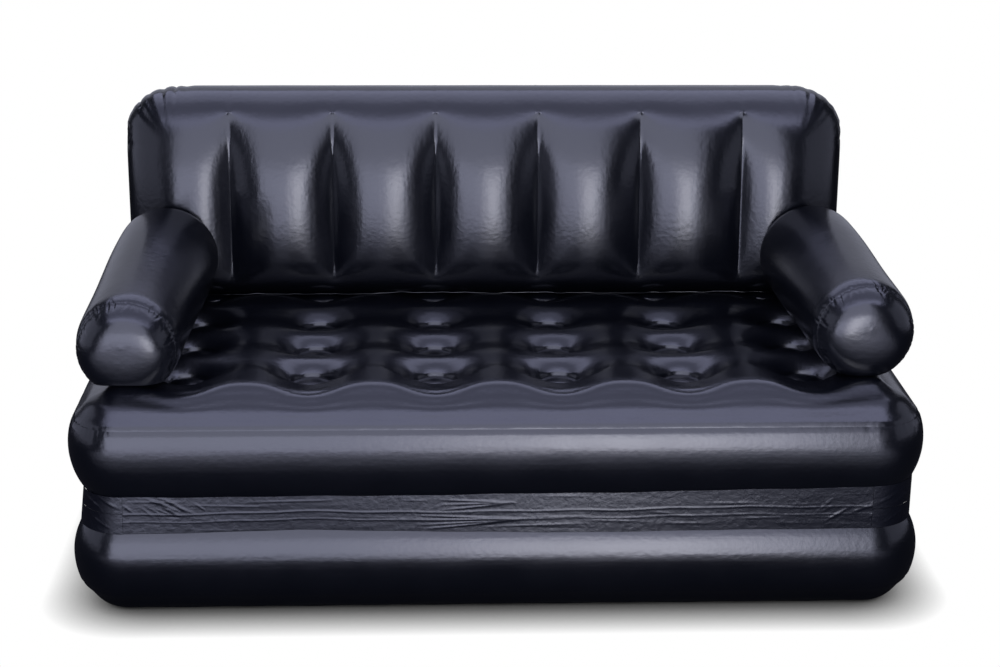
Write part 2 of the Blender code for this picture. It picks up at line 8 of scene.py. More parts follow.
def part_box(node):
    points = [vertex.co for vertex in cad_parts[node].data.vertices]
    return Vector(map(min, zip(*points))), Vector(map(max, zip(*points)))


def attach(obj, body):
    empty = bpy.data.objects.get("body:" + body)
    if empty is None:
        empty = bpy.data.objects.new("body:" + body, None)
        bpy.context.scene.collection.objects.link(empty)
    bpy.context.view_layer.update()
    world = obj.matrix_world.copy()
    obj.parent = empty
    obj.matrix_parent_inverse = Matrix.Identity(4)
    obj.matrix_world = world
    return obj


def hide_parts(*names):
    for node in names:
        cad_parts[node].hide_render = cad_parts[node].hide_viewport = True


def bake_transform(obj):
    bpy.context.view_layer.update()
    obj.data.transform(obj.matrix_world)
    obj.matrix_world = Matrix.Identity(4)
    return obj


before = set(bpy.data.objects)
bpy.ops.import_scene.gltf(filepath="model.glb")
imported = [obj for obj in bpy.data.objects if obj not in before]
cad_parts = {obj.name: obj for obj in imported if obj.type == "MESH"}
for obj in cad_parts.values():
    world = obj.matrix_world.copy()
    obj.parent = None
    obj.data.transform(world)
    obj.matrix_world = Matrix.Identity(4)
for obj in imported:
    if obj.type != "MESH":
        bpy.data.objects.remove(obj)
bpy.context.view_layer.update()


# Quilted film of the two air mattresses
#
# Calendered PVC film, 0.45 mm, welded to the coil beams by round welds. The
# film bellies up between the welds, and inside each weld ring it makes a small
# dome. The upper mattress has its quilt on top, the lower one underneath.

film = 0.00045
# The round welds, and the ring and dome that each makes
weld_columns = 6
weld_rows = 4
weld_radius = 0.036
weld_depth = 0.034
dome_height = 0.0065
weld_crease = 0.0009
weld_crease_width = 0.0013
weld_lip = 0.0008
dome_rings = (0.030, 0.0235, 0.0165, 0.009, 0.0)
crest_allowance = 0.004
seam_groove = 0.0016
fold_depth, ripple_depth, glint_depth = 0.0015, 0.0006, 0.0005
# What the film needs to know of a valve
neck_length = 0.0150
valve_cut_radius = 0.0175
flange_hold = (0.027, 0.070)
# The cells of the quilt, each with one weld, and their distances from the outline
cell_long_steps = 22
cell_short_steps = 14
side_run = 0.066
side_cells_gap = 0.0243
front_cells_gap = 0.043
rear_cells_gap = 0.1445
corner_radius = 0.100
corner_step = 0.0028
# The film between the welds settles on a grid; the coil beams hold it tighter along the rows
membrane_step = 0.004
beam_pull = 1.9
edge_hold = 0.014
relief_rounds = 500
hidden_row_share = 0.25
backrest_cover = (0.06, 0.15)

band_low, band_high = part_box("seat_side_band")
quilt_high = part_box("seat_top_sheet")[1]
plain_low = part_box("seat_bottom_sheet")[0]
half_gap = 0.00015
half_width = (band_high.x - band_low.x) / 2
half_depth = (band_high.y - band_low.y) / 2
middle_y = (band_high.y + band_low.y) / 2
layer_height = quilt_high.z - plain_low.z
interface_z = plain_low.z - half_gap

cells_half_width = half_width - side_run - side_cells_gap
cells_front = middle_y - half_depth + side_run + front_cells_gap
cells_rear = middle_y + half_depth - side_run - rear_cells_gap
column_pitch = 2 * cells_half_width / weld_columns
row_pitch = (cells_rear - cells_front) / weld_rows
weld_x = [(c - (weld_columns - 1) / 2) * column_pitch for c in range(weld_columns)]
weld_y = [cells_front + (r + 0.5) * row_pitch for r in range(weld_rows)]

# Side outline of a mattress as inset from its outline and height over its
# plain face: the side band, and the roll of the quilted sheet above the seam
seam_height = {1: 0.146, -1: 0.156}
band_profile = ((0.0500, 0.0062), (0.0430, 0.0100), (0.0335, 0.0170), (0.0235, 0.0270), (0.0135, 0.0430),
                (0.0060, 0.0610), (0.0014, 0.0800), (0.0000, 0.0960), (0.0006, 0.1110), (0.0030, 0.1260),
                (0.0068, 0.1390), (0.0095, 0.1460))
roll_profile = ((0.0095, 0.1460), (0.0165, 0.1550), (0.0280, 0.1669), (0.0380, 0.1753), (0.0520, 0.1842),
                (0.0660, 0.1938), (0.0780, 0.2014), (0.0880, 0.2054), (0.1000, 0.2072), (0.1200, 0.2074),
                (0.1450, 0.2070), (0.3000, 0.2060))

# The front of the two mattresses meets lower than their middle height
front_sag = 0.009
sag_depth = 0.085
sag_height = 0.110
sag_zone = (0.05, 0.38)


def smooth_steps(stations, count):
    """Places along a smooth line through the stations, evenly far apart."""
    p = np.array(stations)
    p = np.vstack([2 * p[0] - p[1], p, 2 * p[-1] - p[-2]])
    t = np.linspace(0, 1, 12, endpoint=False)[:, None]
    line = []
    for a, b, c, d in zip(p, p[1:], p[2:], p[3:]):
        bend, twist = 2 * a - 5 * b + 4 * c - d, 3 * b - a - 3 * c + d
        line.append(0.5 * (2 * b + (c - a) * t + bend * t ** 2 + twist * t ** 3))
    line = np.vstack(line + [p[-2]])
    run = np.append(0, np.cumsum(np.linalg.norm(np.diff(line, axis=0), axis=1)))
    even = np.linspace(0, run[-1], count)
    return np.stack([np.interp(even, run, line[:, k]) for k in range(2)], axis=1)


def settle(load, held, value, rounds, pull=1.0):
    """Rest shape of a film under even pressure, held at value where held is 1 and free where it is 0.

    The first column of the grid is a mirror plane. Red and black points take turns. Pull is how
    much tighter the film is along its rows than across them."""
    height = value * (held > 0)
    free = 1 - held
    push = np.broadcast_to(load, held.shape)[1:-1, 1:-1]
    speed = 2 / (1 + math.sin(math.pi / max(held.shape)))
    y, x = np.indices(held.shape)
    turns = [((x + y) % 2 == k)[1:-1, 1:-1] for k in (0, 1)]
    for _ in range(rounds):
        for turn in turns:
            height[:, 0] = height[:, 2]
            along = height[1:-1, :-2] + height[1:-1, 2:]
            mean = (height[:-2, 1:-1] + height[2:, 1:-1] + pull * along + push) / (2 + 2 * pull)
            goal = free[1:-1, 1:-1] * mean + held[1:-1, 1:-1] * value[1:-1, 1:-1]
            pace = np.where(held[1:-1, 1:-1] > 0, 1.0, speed)
            inner = height[1:-1, 1:-1]
            inner[turn] += (pace * (goal - inner))[turn]
    return height


def sample(grid, x, y):
    """Height of a grid at x and y, given in grid steps."""
    inside = 1.001
    x = np.clip(x, 0, grid.shape[1] - inside)
    y = np.clip(y, 0, grid.shape[0] - inside)
    i, j = x.astype(int), y.astype(int)
    u, v = x - i, y - j
    return ((1 - u) * (1 - v) * grid[j, i] + u * (1 - v) * grid[j, i + 1]
            + (1 - u) * v * grid[j + 1, i] + u * v * grid[j + 1, i + 1])


def smooth_share(value, start, end):
    """0 before start and 1 after end, with a smooth climb between them."""
    share = np.clip((value - start) / (end - start), 0, 1)
    return share * share * (3 - 2 * share)


def rise_and_fall(value, grows, ends):
    """1 between two smooth steps and 0 outside them."""
    return smooth_share(value, *grows) * (1 - smooth_share(value, *ends))


def inset_of(x, y):
    """How far a place on a mattress is in from its outline, seen from above."""
    across = np.abs(x) - (half_width - corner_radius)
    along = np.abs(y - middle_y) - (half_depth - corner_radius)
    beyond = np.hypot(np.maximum(across, 0), np.maximum(along, 0))
    return corner_radius - np.where(beyond > 0, beyond, np.maximum(across, along))


def quilt_relief():
    """How far the quilted film lies under its roll, over half of the mattress, from the front rearward."""
    columns = int(half_width / membrane_step) + 3
    rows = int(2 * half_depth / membrane_step) + 3
    x = (np.arange(columns) - 1) * membrane_step
    y = middle_y - half_depth + (np.arange(rows) - 1) * membrane_step
    x, y = np.meshgrid(x, y)
    welded = np.zeros_like(x)
    for wx in weld_x[weld_columns // 2:]:
        for wy in weld_y:
            away = np.hypot(x - wx, y - wy)
            welded = np.maximum(welded, np.clip((weld_radius - away) / membrane_step + 0.5, 0, 1))
    edge = inset_of(x, y) < edge_hold
    held = np.where(edge, 1.0, welded)
    pressed = settle(membrane_step ** 2, held, np.zeros_like(x), relief_rounds, beam_pull)
    raised = settle(0.0, held, edge * 1.0, relief_rounds, beam_pull)
    between_x = np.array([(weld_x[3] + weld_x[4]) / 2 / membrane_step + 1])
    between_y = np.array([((weld_y[1] + weld_y[2]) / 2 - y[0, 0]) / membrane_step])
    crest = [float(sample(grid, between_x, between_y)[0]) for grid in (pressed, raised)]
    # the film is level with its roll at the edge, and again in the middle of four welds
    share = (1 - crest[1]) / crest[0]
    return 1 - (pressed * share + raised), y[0, 0]


# The welds of the front row pull the roll in front of them down a little more.
# The pull grows and ends over these insets, and over these distances from the
# middle of the mattress
front_pull = {1: 0.017, -1: 0.005}
pull_grows, pull_ends, pull_zone = (0.050, 0.105), (0.150, 0.200), (0.20, 0.33)
pull_side_margin, pull_side_fade, pull_sharpness = 0.04, 0.08, 1.4
# Ripples run along the roll: their places are the insets of the steep sides
ripple_height = 0.0011
ripple_place, ripple_move = (0.031, 0.076), (0.005, 0.022)
ripple_grows, ripple_ends, ripple_zone = (0.012, 0.030), (0.080, 0.100), (0.25, 0.38)
# The lower mattress lies flat on the floor nearly up to its edge
floor_settling = 0.014
floor_grows, floor_ends = (0.012, 0.055), (0.09, 0.15)
crest_softness = 0.0004

relief, relief_start = quilt_relief()
roll_line = smooth_steps(roll_profile, 400)


def depth_share(y, side):
    """Share of the full weld depth: the backrest sits on the rear row of the upper mattress."""
    return 1 - (1 - hidden_row_share) * smooth_share(y, *backrest_cover) * (side > 0)


def quilt_height(x, y, side):
    """Height of the quilted film over the mattress's plain face, outside the weld rings."""
    inset = inset_of(x, y)
    base = np.interp(inset, roll_line[:, 0], roll_line[:, 1])
    low = sample(relief, np.abs(x) / membrane_step + 1, (y - relief_start) / membrane_step)
    # the film nowhere stands over the line of its roll
    low = 0.5 * (low + np.sqrt(low ** 2 + crest_softness)) * depth_share(y, side)
    wave = 0.5 - 0.5 * np.cos(2 * math.pi * (x + cells_half_width) / column_pitch)
    pulled = front_pull[side] * wave ** pull_sharpness * rise_and_fall(inset, pull_grows, pull_ends)
    pulled = pulled * smooth_share(-y, *pull_zone)
    pulled = pulled * smooth_share(cells_half_width + pull_side_margin - np.abs(x), 0.0, pull_side_fade)
    lower, upper = (place - move * wave for place, move in zip(ripple_place, ripple_move))
    on_roll = rise_and_fall(inset, ripple_grows, ripple_ends) * smooth_share(-y, *ripple_zone)
    ripple = ripple_height * on_roll * np.sin(2 * math.pi * (inset - lower) / (upper - lower))
    settled = 0.0 if side > 0 else floor_settling * rise_and_fall(inset, floor_grows, floor_ends)
    return base + ripple + settled - weld_depth * low - pulled


def outline(s):
    """Places and outward directions along a mattress's outline, s from the front's middle, rightward."""
    straight_x, straight_y = half_width - corner_radius, half_depth - corner_radius
    arc = math.pi / 2 * corner_radius
    total = 4 * (straight_x + straight_y + arc)
    legs = [straight_x, arc, 2 * straight_y, arc, 2 * straight_x, arc, 2 * straight_y, arc, straight_x]
    starts = np.append(0, np.cumsum(legs))
    s = np.mod(s, total)
    leg = np.clip(np.searchsorted(starts, s, side="right") - 1, 0, 8)
    into = s - starts[leg]
    angle = np.array([-90, -90, 0, 0, 90, 90, 180, 180, 270])[leg].astype(float)
    angle = np.radians(angle + np.where(leg % 2 == 1, into / corner_radius * 180 / math.pi, 0))
    centre_x = np.array([0, 1, 1, 1, 1, -1, -1, -1, -1])[leg] * straight_x
    centre_y = np.array([-1, -1, -1, 1, 1, 1, 1, -1, -1])[leg] * straight_y
    run = np.where(leg % 2 == 0, into, 0)
    nx, ny = np.cos(angle), np.sin(angle)
    x = centre_x + corner_radius * nx - run * ny
    y = middle_y + centre_y + corner_radius * ny + run * nx
    return x, y, nx, ny, total


def cell_border(column, row):
    """Edge of a quilt cell, once round from its front left corner, rightward."""
    x0, y0 = -cells_half_width + column * column_pitch, cells_front + row * row_pitch
    across = np.arange(cell_long_steps) / cell_long_steps * column_pitch
    along = np.arange(cell_short_steps) / cell_short_steps * row_pitch
    x = np.concatenate([x0 + across, np.full(cell_short_steps, x0 + column_pitch),
                        x0 + column_pitch - across, np.full(cell_short_steps, x0)])
    y = np.concatenate([np.full(cell_long_steps, y0), y0 + along, np.full(cell_long_steps, y0 + row_pitch),
                        y0 + row_pitch - along])
    return np.append(x, x[0]), np.append(y, y[0])


def quilt_border():
    """Edge of all the cells together, from the front's middle, rightward, with the outline place of each."""
    margin, end_margin = 0.035, 0.12
    per_side = weld_columns * cell_long_steps
    per_end = weld_rows * cell_short_steps
    across = np.arange(per_side) / per_side * 2 * cells_half_width
    along = np.arange(per_end) / per_end * (cells_rear - cells_front)
    x = np.concatenate([-cells_half_width + across, np.full(per_end, cells_half_width),
                        cells_half_width - across, np.full(per_end, -cells_half_width)])
    y = np.concatenate([np.full(per_side, cells_front), cells_front + along, np.full(per_side, cells_rear),
                        cells_rear - along])
    x, y = np.roll(x, -per_side // 2), np.roll(y, -per_side // 2)
    straight_x, straight_y = half_width - corner_radius, half_depth - corner_radius
    arc = math.pi / 2 * corner_radius
    on_front = np.isclose(y, cells_front)
    on_rear = np.isclose(y, cells_rear)
    half = straight_x + arc + straight_y
    s = np.where(on_front, np.where(x >= 0, x, 4 * (straight_x + straight_y + arc) + x), 0.0)
    s = np.where(on_rear, 2 * half - x, s)
    sides = ~on_front & ~on_rear
    s = np.where(sides & (x > 0), half + y - middle_y, s)
    s = np.where(sides & (x < 0), 3 * half - (y - middle_y), s)
    sure = np.where(on_front | on_rear, np.abs(x) < straight_x - margin,
                    np.abs(y - middle_y) < straight_y - end_margin)
    index = np.arange(len(x))
    total = 4 * (straight_x + straight_y + arc)
    whole = np.interp(index, np.append(index[sure], len(x)), np.append(s[sure], total))
    return x, y, whole, total


def mattress_columns():
    """Where columns of faces cross the outline: as far apart as on the cells' edge, finer at the corners."""
    widest = 0.014
    x, y, s, total = quilt_border()
    following = np.append(s[1:], total)
    place, partner = [], []
    for k, (start, end) in enumerate(zip(s, following)):
        steps = max(1, round((end - start) / corner_step)) if end - start > widest else 1
        for i in range(steps):
            place.append(start + (end - start) * i / steps)
            partner.append(k if i < steps / 2 + 0.5 else (k + 1) % len(s))
    return np.array(place), np.array(partner), x, y


columns_s, columns_partner, border_x, border_y = mattress_columns()


def gathers(s, away, length, pitch, reach, width, seed):
    """Folds of 0 to about 1 that run from a seam of that length: s lies along it, away from it."""
    random = np.random.default_rng(seed)
    depth = np.zeros(np.broadcast(s, away).shape)
    place = 0.0
    while place < length:
        place += pitch * random.uniform(0.45, 1.55)
        lean = random.uniform(-0.45, 0.45)
        end = reach * random.uniform(0.35, 1.25)
        strength = random.uniform(0.35, 1.0)
        off = np.mod(s - place - lean * away + length / 2, length) - length / 2
        line = np.exp(-(off / (width * random.uniform(0.7, 1.4))) ** 2)
        depth += strength * line * np.clip(1 - away / end, 0, 1)
    return depth


def corner_share(s):
    """1 in the rounded corners of a mattress and 0 along its straight sides."""
    widening = 2.2
    nx, ny = outline(s)[2:4]
    return np.clip(np.minimum(np.abs(nx), np.abs(ny)) * widening, 0, 1)


weld_reach = 0.00002
smooth_angle = 50


def film_grid(name, *patches):
    """Grids of film moved to the places given for them, row by row, and welded where their edges meet."""
    made = []
    for points in patches:
        rows, columns = points.shape[0] - 1, points.shape[1] - 1
        bpy.ops.object.select_all(action="DESELECT")
        bpy.ops.mesh.primitive_grid_add(x_subdivisions=columns, y_subdivisions=rows, size=1)
        patch = bpy.context.object
        flat = np.empty(len(patch.data.vertices) * 3)
        patch.data.vertices.foreach_get("co", flat)
        flat = flat.reshape(-1, 3)
        column = np.rint((flat[:, 0] + 0.5) * columns).astype(int)
        row = np.rint((flat[:, 1] + 0.5) * rows).astype(int)
        patch.data.vertices.foreach_set("co", points[row, column].ravel())
        made.append(patch)
    bpy.ops.object.select_all(action="DESELECT")
    for patch in made:
        patch.select_set(True)
    bpy.context.view_layer.objects.active = made[0]
    if len(made) > 1:
        bpy.ops.object.join()
    sheet = bpy.context.view_layer.objects.active
    sheet.name = sheet.data.name = name
    bpy.ops.object.mode_set(mode="EDIT")
    bpy.ops.mesh.select_all(action="SELECT")
    bpy.ops.mesh.remove_doubles(threshold=weld_reach)
    bpy.ops.mesh.normals_make_consistent(inside=False)
    bpy.ops.object.mode_set(mode="OBJECT")
    return sheet


def face_away(sheet, inside):
    """Turn an open sheet's faces away from a place, or from a line if a coordinate is None."""
    count = len(sheet.data.polygons)
    centre, normal, area = np.empty(count * 3), np.empty(count * 3), np.empty(count)
    sheet.data.polygons.foreach_get("center", centre)
    sheet.data.polygons.foreach_get("normal", normal)
    sheet.data.polygons.foreach_get("area", area)
    used = [k for k in range(3) if inside[k] is not None]
    out = centre.reshape(-1, 3)[:, used] - np.array([inside[k] for k in used])
    if (np.sum(out * normal.reshape(-1, 3)[:, used], axis=1) * area).sum() < 0:
        bpy.ops.object.mode_set(mode="EDIT")
        bpy.ops.mesh.select_all(action="SELECT")
        bpy.ops.mesh.flip_normals()
        bpy.ops.object.mode_set(mode="OBJECT")


def smooth(piece, angle):
    bpy.ops.object.select_all(action="DESELECT")
    piece.select_set(True)
    bpy.context.view_layer.objects.active = piece
    bpy.ops.object.shade_smooth_by_angle(angle=math.radians(angle))


def give_thickness(sheet, offset=-1):
    """Give an open sheet its gauge, on its inner side or with offset 0 on both sides."""
    gauge = sheet.modifiers.new("Gauge", "SOLIDIFY")
    gauge.thickness = film
    gauge.offset = offset
    bpy.context.view_layer.objects.active = sheet
    bpy.ops.object.modifier_apply(modifier=gauge.name)
    smooth(sheet, smooth_angle)


def fill_ends(piece):
    """Close the open ends of a swept piece."""
    bpy.ops.object.select_all(action="DESELECT")
    piece.select_set(True)
    bpy.context.view_layer.objects.active = piece
    bpy.ops.object.mode_set(mode="EDIT")
    bpy.ops.mesh.select_all(action="SELECT")
    bpy.ops.mesh.fill_holes(sides=0)
    bpy.ops.mesh.normals_make_consistent(inside=False)
    bpy.ops.object.mode_set(mode="OBJECT")


def valve_seat(node):
    """Where the line of a valve's neck meets the film that the neck is welded to."""
    low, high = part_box(node)
    return Vector(((low.x + high.x) / 2, high.y - neck_length, (low.z + high.z) / 2))


def off_valve(x, z, seat):
    """0 on the film that a valve's stiff flange holds flat, 1 further away."""
    return smooth_share(np.hypot(x - seat.x, z - seat.z), *flange_hold)


def open_for_valve(sheet, seat):
    """Cut the film open round a valve's stub; the flange covers the cut."""
    bpy.context.view_layer.objects.active = sheet
    bpy.ops.object.mode_set(mode="EDIT")
    bpy.ops.mesh.select_mode(type="FACE")
    bpy.ops.mesh.select_all(action="DESELECT")
    bpy.ops.object.mode_set(mode="OBJECT")
    for face in sheet.data.polygons:
        face.select = (face.center - seat).length < valve_cut_radius
    bpy.ops.object.mode_set(mode="EDIT")
    bpy.ops.mesh.delete(type="FACE")
    bpy.ops.mesh.select_mode(type="VERT")
    bpy.ops.object.mode_set(mode="OBJECT")


def to_linear(colour):
    """Linear colour of an sRGB hex value."""
    parts = [int(colour[k:k + 2], 16) / 255 for k in (1, 3, 5)]
    return tuple(c / 12.92 if c <= 0.04045 else ((c + 0.055) / 1.055) ** 2.4 for c in parts) + (1.0,)


def add_node(tree, kind, links=(), **settings):
    """Add a node; settings are its own or its inputs', and links feed its inputs."""
    node = tree.nodes.new(kind)
    for key, value in settings.items():
        if hasattr(node, key):
            setattr(node, key, value)
        else:
            node.inputs[key.replace("_", " ")].default_value = value
    for key, source in links:
        tree.links.new(source, node.inputs[key])
    return node


def new_material(name):
    material = bpy.data.materials.new(name)
    material.use_nodes = True
    tree = material.node_tree
    return material, tree, tree.nodes["Principled BSDF"]


def calendered_film(name, dark, pale, roughness, crinkle, streak, ior=1.54):
    """Calendered soft PVC film: a gloss skin that the rollers leave faintly streaked.

    Streak is lines a metre each way, and crinkle how strongly the slack film is wrinkled."""
    material, tree, shader = new_material(name)
    place = add_node(tree, "ShaderNodeTexCoord").outputs["Object"]
    cloud_mm, slack_mm, grain_mm = 90, 9, 2.2
    slack_depth, grain_depth, streak_depth = 0.0012, 0.0002, 0.0009
    cloud = add_node(tree, "ShaderNodeTexNoise", [("Vector", place)], Scale=1000 / cloud_mm, Detail=2.0)
    colour = add_node(tree, "ShaderNodeMix", [("Factor", cloud.outputs["Fac"])], data_type="RGBA")
    for letter, value in (("A", dark), ("B", pale)):
        socket = [s for s in colour.inputs if s.name == letter and s.type == "RGBA"][0]
        socket.default_value = to_linear(value)
    mixed = [s for s in colour.outputs if s.type == "RGBA"][0]
    tree.links.new(mixed, shader.inputs["Base Color"])
    gloss = add_node(tree, "ShaderNodeMapRange", [("Value", cloud.outputs["Fac"])],
                     From_Min=0.3, From_Max=0.7, To_Min=roughness - 0.02, To_Max=roughness + 0.03)
    tree.links.new(gloss.outputs["Result"], shader.inputs["Roughness"])
    stretched = add_node(tree, "ShaderNodeVectorMath", [(0, place)], operation="MULTIPLY")
    stretched.inputs[1].default_value = streak
    below = []
    for along, scale, detail, depth in ((place, 1000 / slack_mm, 3.0, slack_depth),
                                        (place, 1000 / grain_mm, 1.0, grain_depth),
                                        (stretched.outputs[0], 1.0, 2.0, streak_depth)):
        noise = add_node(tree, "ShaderNodeTexNoise", [("Vector", along)], Scale=scale, Detail=detail)
        bump = add_node(tree, "ShaderNodeBump", [("Height", noise.outputs["Fac"])] + below,
                        Strength=crinkle, Distance=depth)
        below = [("Normal", bump.outputs["Normal"])]
    tree.links.new(bump.outputs["Normal"], shader.inputs["Normal"])
    shader.inputs["IOR"].default_value = ior
    return material


outer_film = calendered_film("calendered_pvc_film", "#040508", "#06070b", 0.23, 0.26, (5, 90, 90))
upright_film = calendered_film("calendered_pvc_film_upright", "#040508", "#06070b", 0.23, 0.26, (90, 90, 5))
inner_film = calendered_film("plain_beam_film", "#202024", "#28282c", 0.34, 0.2, (5, 60, 60))


def dress_piece(piece, material, body, node, angle=smooth_angle):
    """Finish a piece: its skin, the body that it rides on and the CAD node that it stands for."""
    smooth(piece, angle)
    piece.data.materials.clear()
    piece.data.materials.append(material)
    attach(piece, body)
    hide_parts(node)


def dress_film(sheet, inside, body, node, material=outer_film):
    """Finish a film piece that air pressure holds out, as dress_piece does, and give it its gauge."""
    face_away(sheet, inside)
    give_thickness(sheet)
    dress_piece(sheet, material, body, node)


def layer_z(height, side, inset=1.0, y=0.0):
    """World height of a place over the plain face of the upper (side 1) or lower (side -1) mattress."""
    sag = front_sag * (1 - smooth_share(inset, 0.3 * sag_depth, sag_depth)) * smooth_share(-y, *sag_zone)
    return interface_z + side * (height + half_gap) - sag * np.clip(1 - height / sag_height, 0, 1)


# The lower mattress's quilt lies on the floor, and the upper one's may crown a little
highest = {1: layer_height + crest_allowance, -1: layer_height}


def closed(points):
    """Rows of places that meet their own start again."""
    return np.concatenate([points, points[:, :1]], axis=1)


def quilt_cell(column, row, side):
    """One cell of the quilt: from its edge down to the weld ring, and the small dome inside."""
    bx, by = cell_border(column, row)
    wx, wy = weld_x[column], weld_y[row]
    angle = np.unwrap(np.arctan2(by - wy, bx - wx))
    ring_x, ring_y = wx + weld_radius * np.cos(angle), wy + weld_radius * np.sin(angle)
    rows_x, rows_y, rows_h = [], [], []
    for share in 1 - (1 - np.linspace(0, 1, 11)[:-1]) ** 1.5:
        x, y = bx + (ring_x - bx) * share, by + (ring_y - by) * share
        rows_x.append(x), rows_y.append(y), rows_h.append(quilt_height(x, y, side))
    floor = layer_height - weld_depth * depth_share(wy, side)
    heights = {weld_radius + weld_crease_width: floor + weld_lip, weld_radius: floor - weld_crease}
    for radius in (weld_radius - weld_crease_width,) + dome_rings:
        heights[radius] = floor + dome_height * (1 - (radius / weld_radius) ** 2)
    for radius, height in heights.items():
        rows_x.append(wx + radius * np.cos(angle))
        rows_y.append(wy + radius * np.sin(angle))
        rows_h.append(np.full_like(angle, height))
    x, y, h = np.array(rows_x), np.array(rows_y), np.array(rows_h)
    return np.stack([x, y, layer_z(np.minimum(h, highest[side]), side)], axis=-1)


def quilt_apron(side):
    """The quilted sheet from its seam over the roll to the edge of the cells."""
    s, partner = columns_s, columns_partner
    x, y, nx, ny, total = outline(s)
    seam, roll = np.array(roll_profile[0]), smooth_steps(roll_profile[:9], 22)
    rows_x, rows_y, rows_h = [], [], []
    corner = corner_share(s)
    for k, (inset, height) in enumerate(roll):
        away = np.full_like(s, max(inset - seam[0], 0) + height - seam[1])
        fold = gathers(s, away, total, pitch=0.0075, reach=0.020, width=0.0019, seed=11) * corner
        ripple = gathers(s, away, total, pitch=0.045, reach=0.016, width=0.006, seed=12)
        glint = gathers(s, away, total, pitch=0.011, reach=0.004, width=0.002, seed=13)
        sink = fold_depth * fold + ripple_depth * ripple + glint_depth * glint + seam_groove * (k == 0)
        px, py = x - nx * (inset + sink), y - ny * (inset + sink)
        rows_x.append(px), rows_y.append(py)
        stretch = (seam_height[side] - seam[1]) * (1 - smooth_share(height, seam[1], layer_height))
        rows_h.append((quilt_height(px, py, side) if k else np.full_like(s, height) - sink) + stretch)
    goal_x, goal_y = border_x[partner], border_y[partner]
    start_x, start_y = rows_x[-1], rows_y[-1]
    for share in np.linspace(0, 1, 7)[1:]:
        px, py = start_x + (goal_x - start_x) * share, start_y + (goal_y - start_y) * share
        rows_x.append(px), rows_y.append(py), rows_h.append(quilt_height(px, py, side))
    h = np.minimum(np.array(rows_h), highest[side])
    return closed(np.stack([np.array(rows_x), np.array(rows_y), layer_z(h, side)], axis=-1))


def quilt(name, side, body, node):
    """The quilted sheet of one mattress: its roll and its cells, welded into one piece."""
    cells = [quilt_cell(c, r, side) for c in range(weld_columns) for r in range(weld_rows)]
    sheet = film_grid(name, quilt_apron(side), *cells)
    dress_film(sheet, (None, None, interface_z), body, node)


quilt("seat_quilt", 1, "seat_section", "seat_top_sheet")
quilt("base_quilt", -1, "base_section", "base_bottom_sheet")


# Side bands and plain faces of the mattresses
#
# Each band is one long strip of the same film, welded to the quilted sheet
# above and to the plain sheet below. It blows out into a round side, and the
# seams pull the film into small folds at the corners.


rear_facing = 0.99
wide_fold_share = 1.4


def side_band(name, side, body, node, valve):
    """Round side of one mattress, from its plain seam to its quilted seam, open for its valve."""
    s = columns_s
    seat = valve_seat(valve)
    x, y, nx, ny, total = outline(s)
    profile = smooth_steps(band_profile, 30)
    profile[:, 1] *= seam_height[side] / profile[-1, 1]
    corner = corner_share(s)
    rows = []
    for k, (inset, height) in enumerate(profile):
        from_top = np.full_like(s, profile[-1][1] - height)
        from_foot = np.full_like(s, height - profile[0][1])
        fold = gathers(s, from_top, total, pitch=0.0075, reach=0.022, width=0.0019, seed=21) * corner
        wide = gathers(s, from_foot, total, pitch=0.014, reach=0.045, width=0.0035, seed=22) * corner
        ripple = gathers(s, from_top, total, pitch=0.05, reach=0.018, width=0.006, seed=23)
        at_seam = k == len(profile) - 1
        sink = fold_depth * (fold + wide_fold_share * wide) + ripple_depth * ripple + seam_groove * at_seam
        z = layer_z(np.full_like(s, height), side, inset, y)
        depth = (inset + sink) * np.where(ny > rear_facing, off_valve(x, z, seat), 1.0)
        rows.append(np.stack([x - nx * depth, y - ny * depth, z], axis=-1))
    sheet = film_grid(name, closed(np.array(rows)))
    open_for_valve(sheet, seat)
    dress_film(sheet, (0, middle_y, layer_z(layer_height / 2, side)), body, node)


side_band("seat_band", 1, "seat_section", "seat_side_band", "seat_valve_neck")
side_band("base_band", -1, "base_section", "base_side_band", "base_valve_neck")


def plain_face(name, side, body, node):
    """Flat sheet between the mattresses; its rim runs up to the band's plain seam."""
    inner_ring_shares = (0.15, 0.4, 0.7, 1.0)
    s = columns_s
    x, y, nx, ny = outline(s)[:4]
    rim = ((0.0492, 0.0056), (0.0520, 0.0030), (0.0560, 0.0008), (0.0620, 0.0), (0.0720, 0.0), (0.0830, 0.0))
    rows = []
    for inset, height in rim:
        z = layer_z(np.full_like(s, height), side, inset, y)
        rows.append(np.stack([x - nx * inset, y - ny * inset, z], axis=-1))
    inner = rows[-1]
    for share in inner_ring_shares:
        goal = np.stack([inner[:, 0] * 0.0, np.full_like(s, middle_y), inner[:, 2]], axis=-1)
        rows.append(inner + (goal - inner) * share)
    sheet = film_grid(name, closed(np.array(rows)))
    dress_film(sheet, (None, None, layer_z(layer_height, side)), body, node)


plain_face("seat_plain_face", 1, "seat_section", "seat_bottom_sheet")
plain_face("base_plain_face", -1, "base_section", "base_top_sheet")


# Backrest
#
# Two sheets of the film, welded round their edge and to six I-beams of film
# inside, which hold them 0.2 m apart at the grooves. Between the beams the
# film blows out into seven tubes, and the welded edge gathers at the corners.

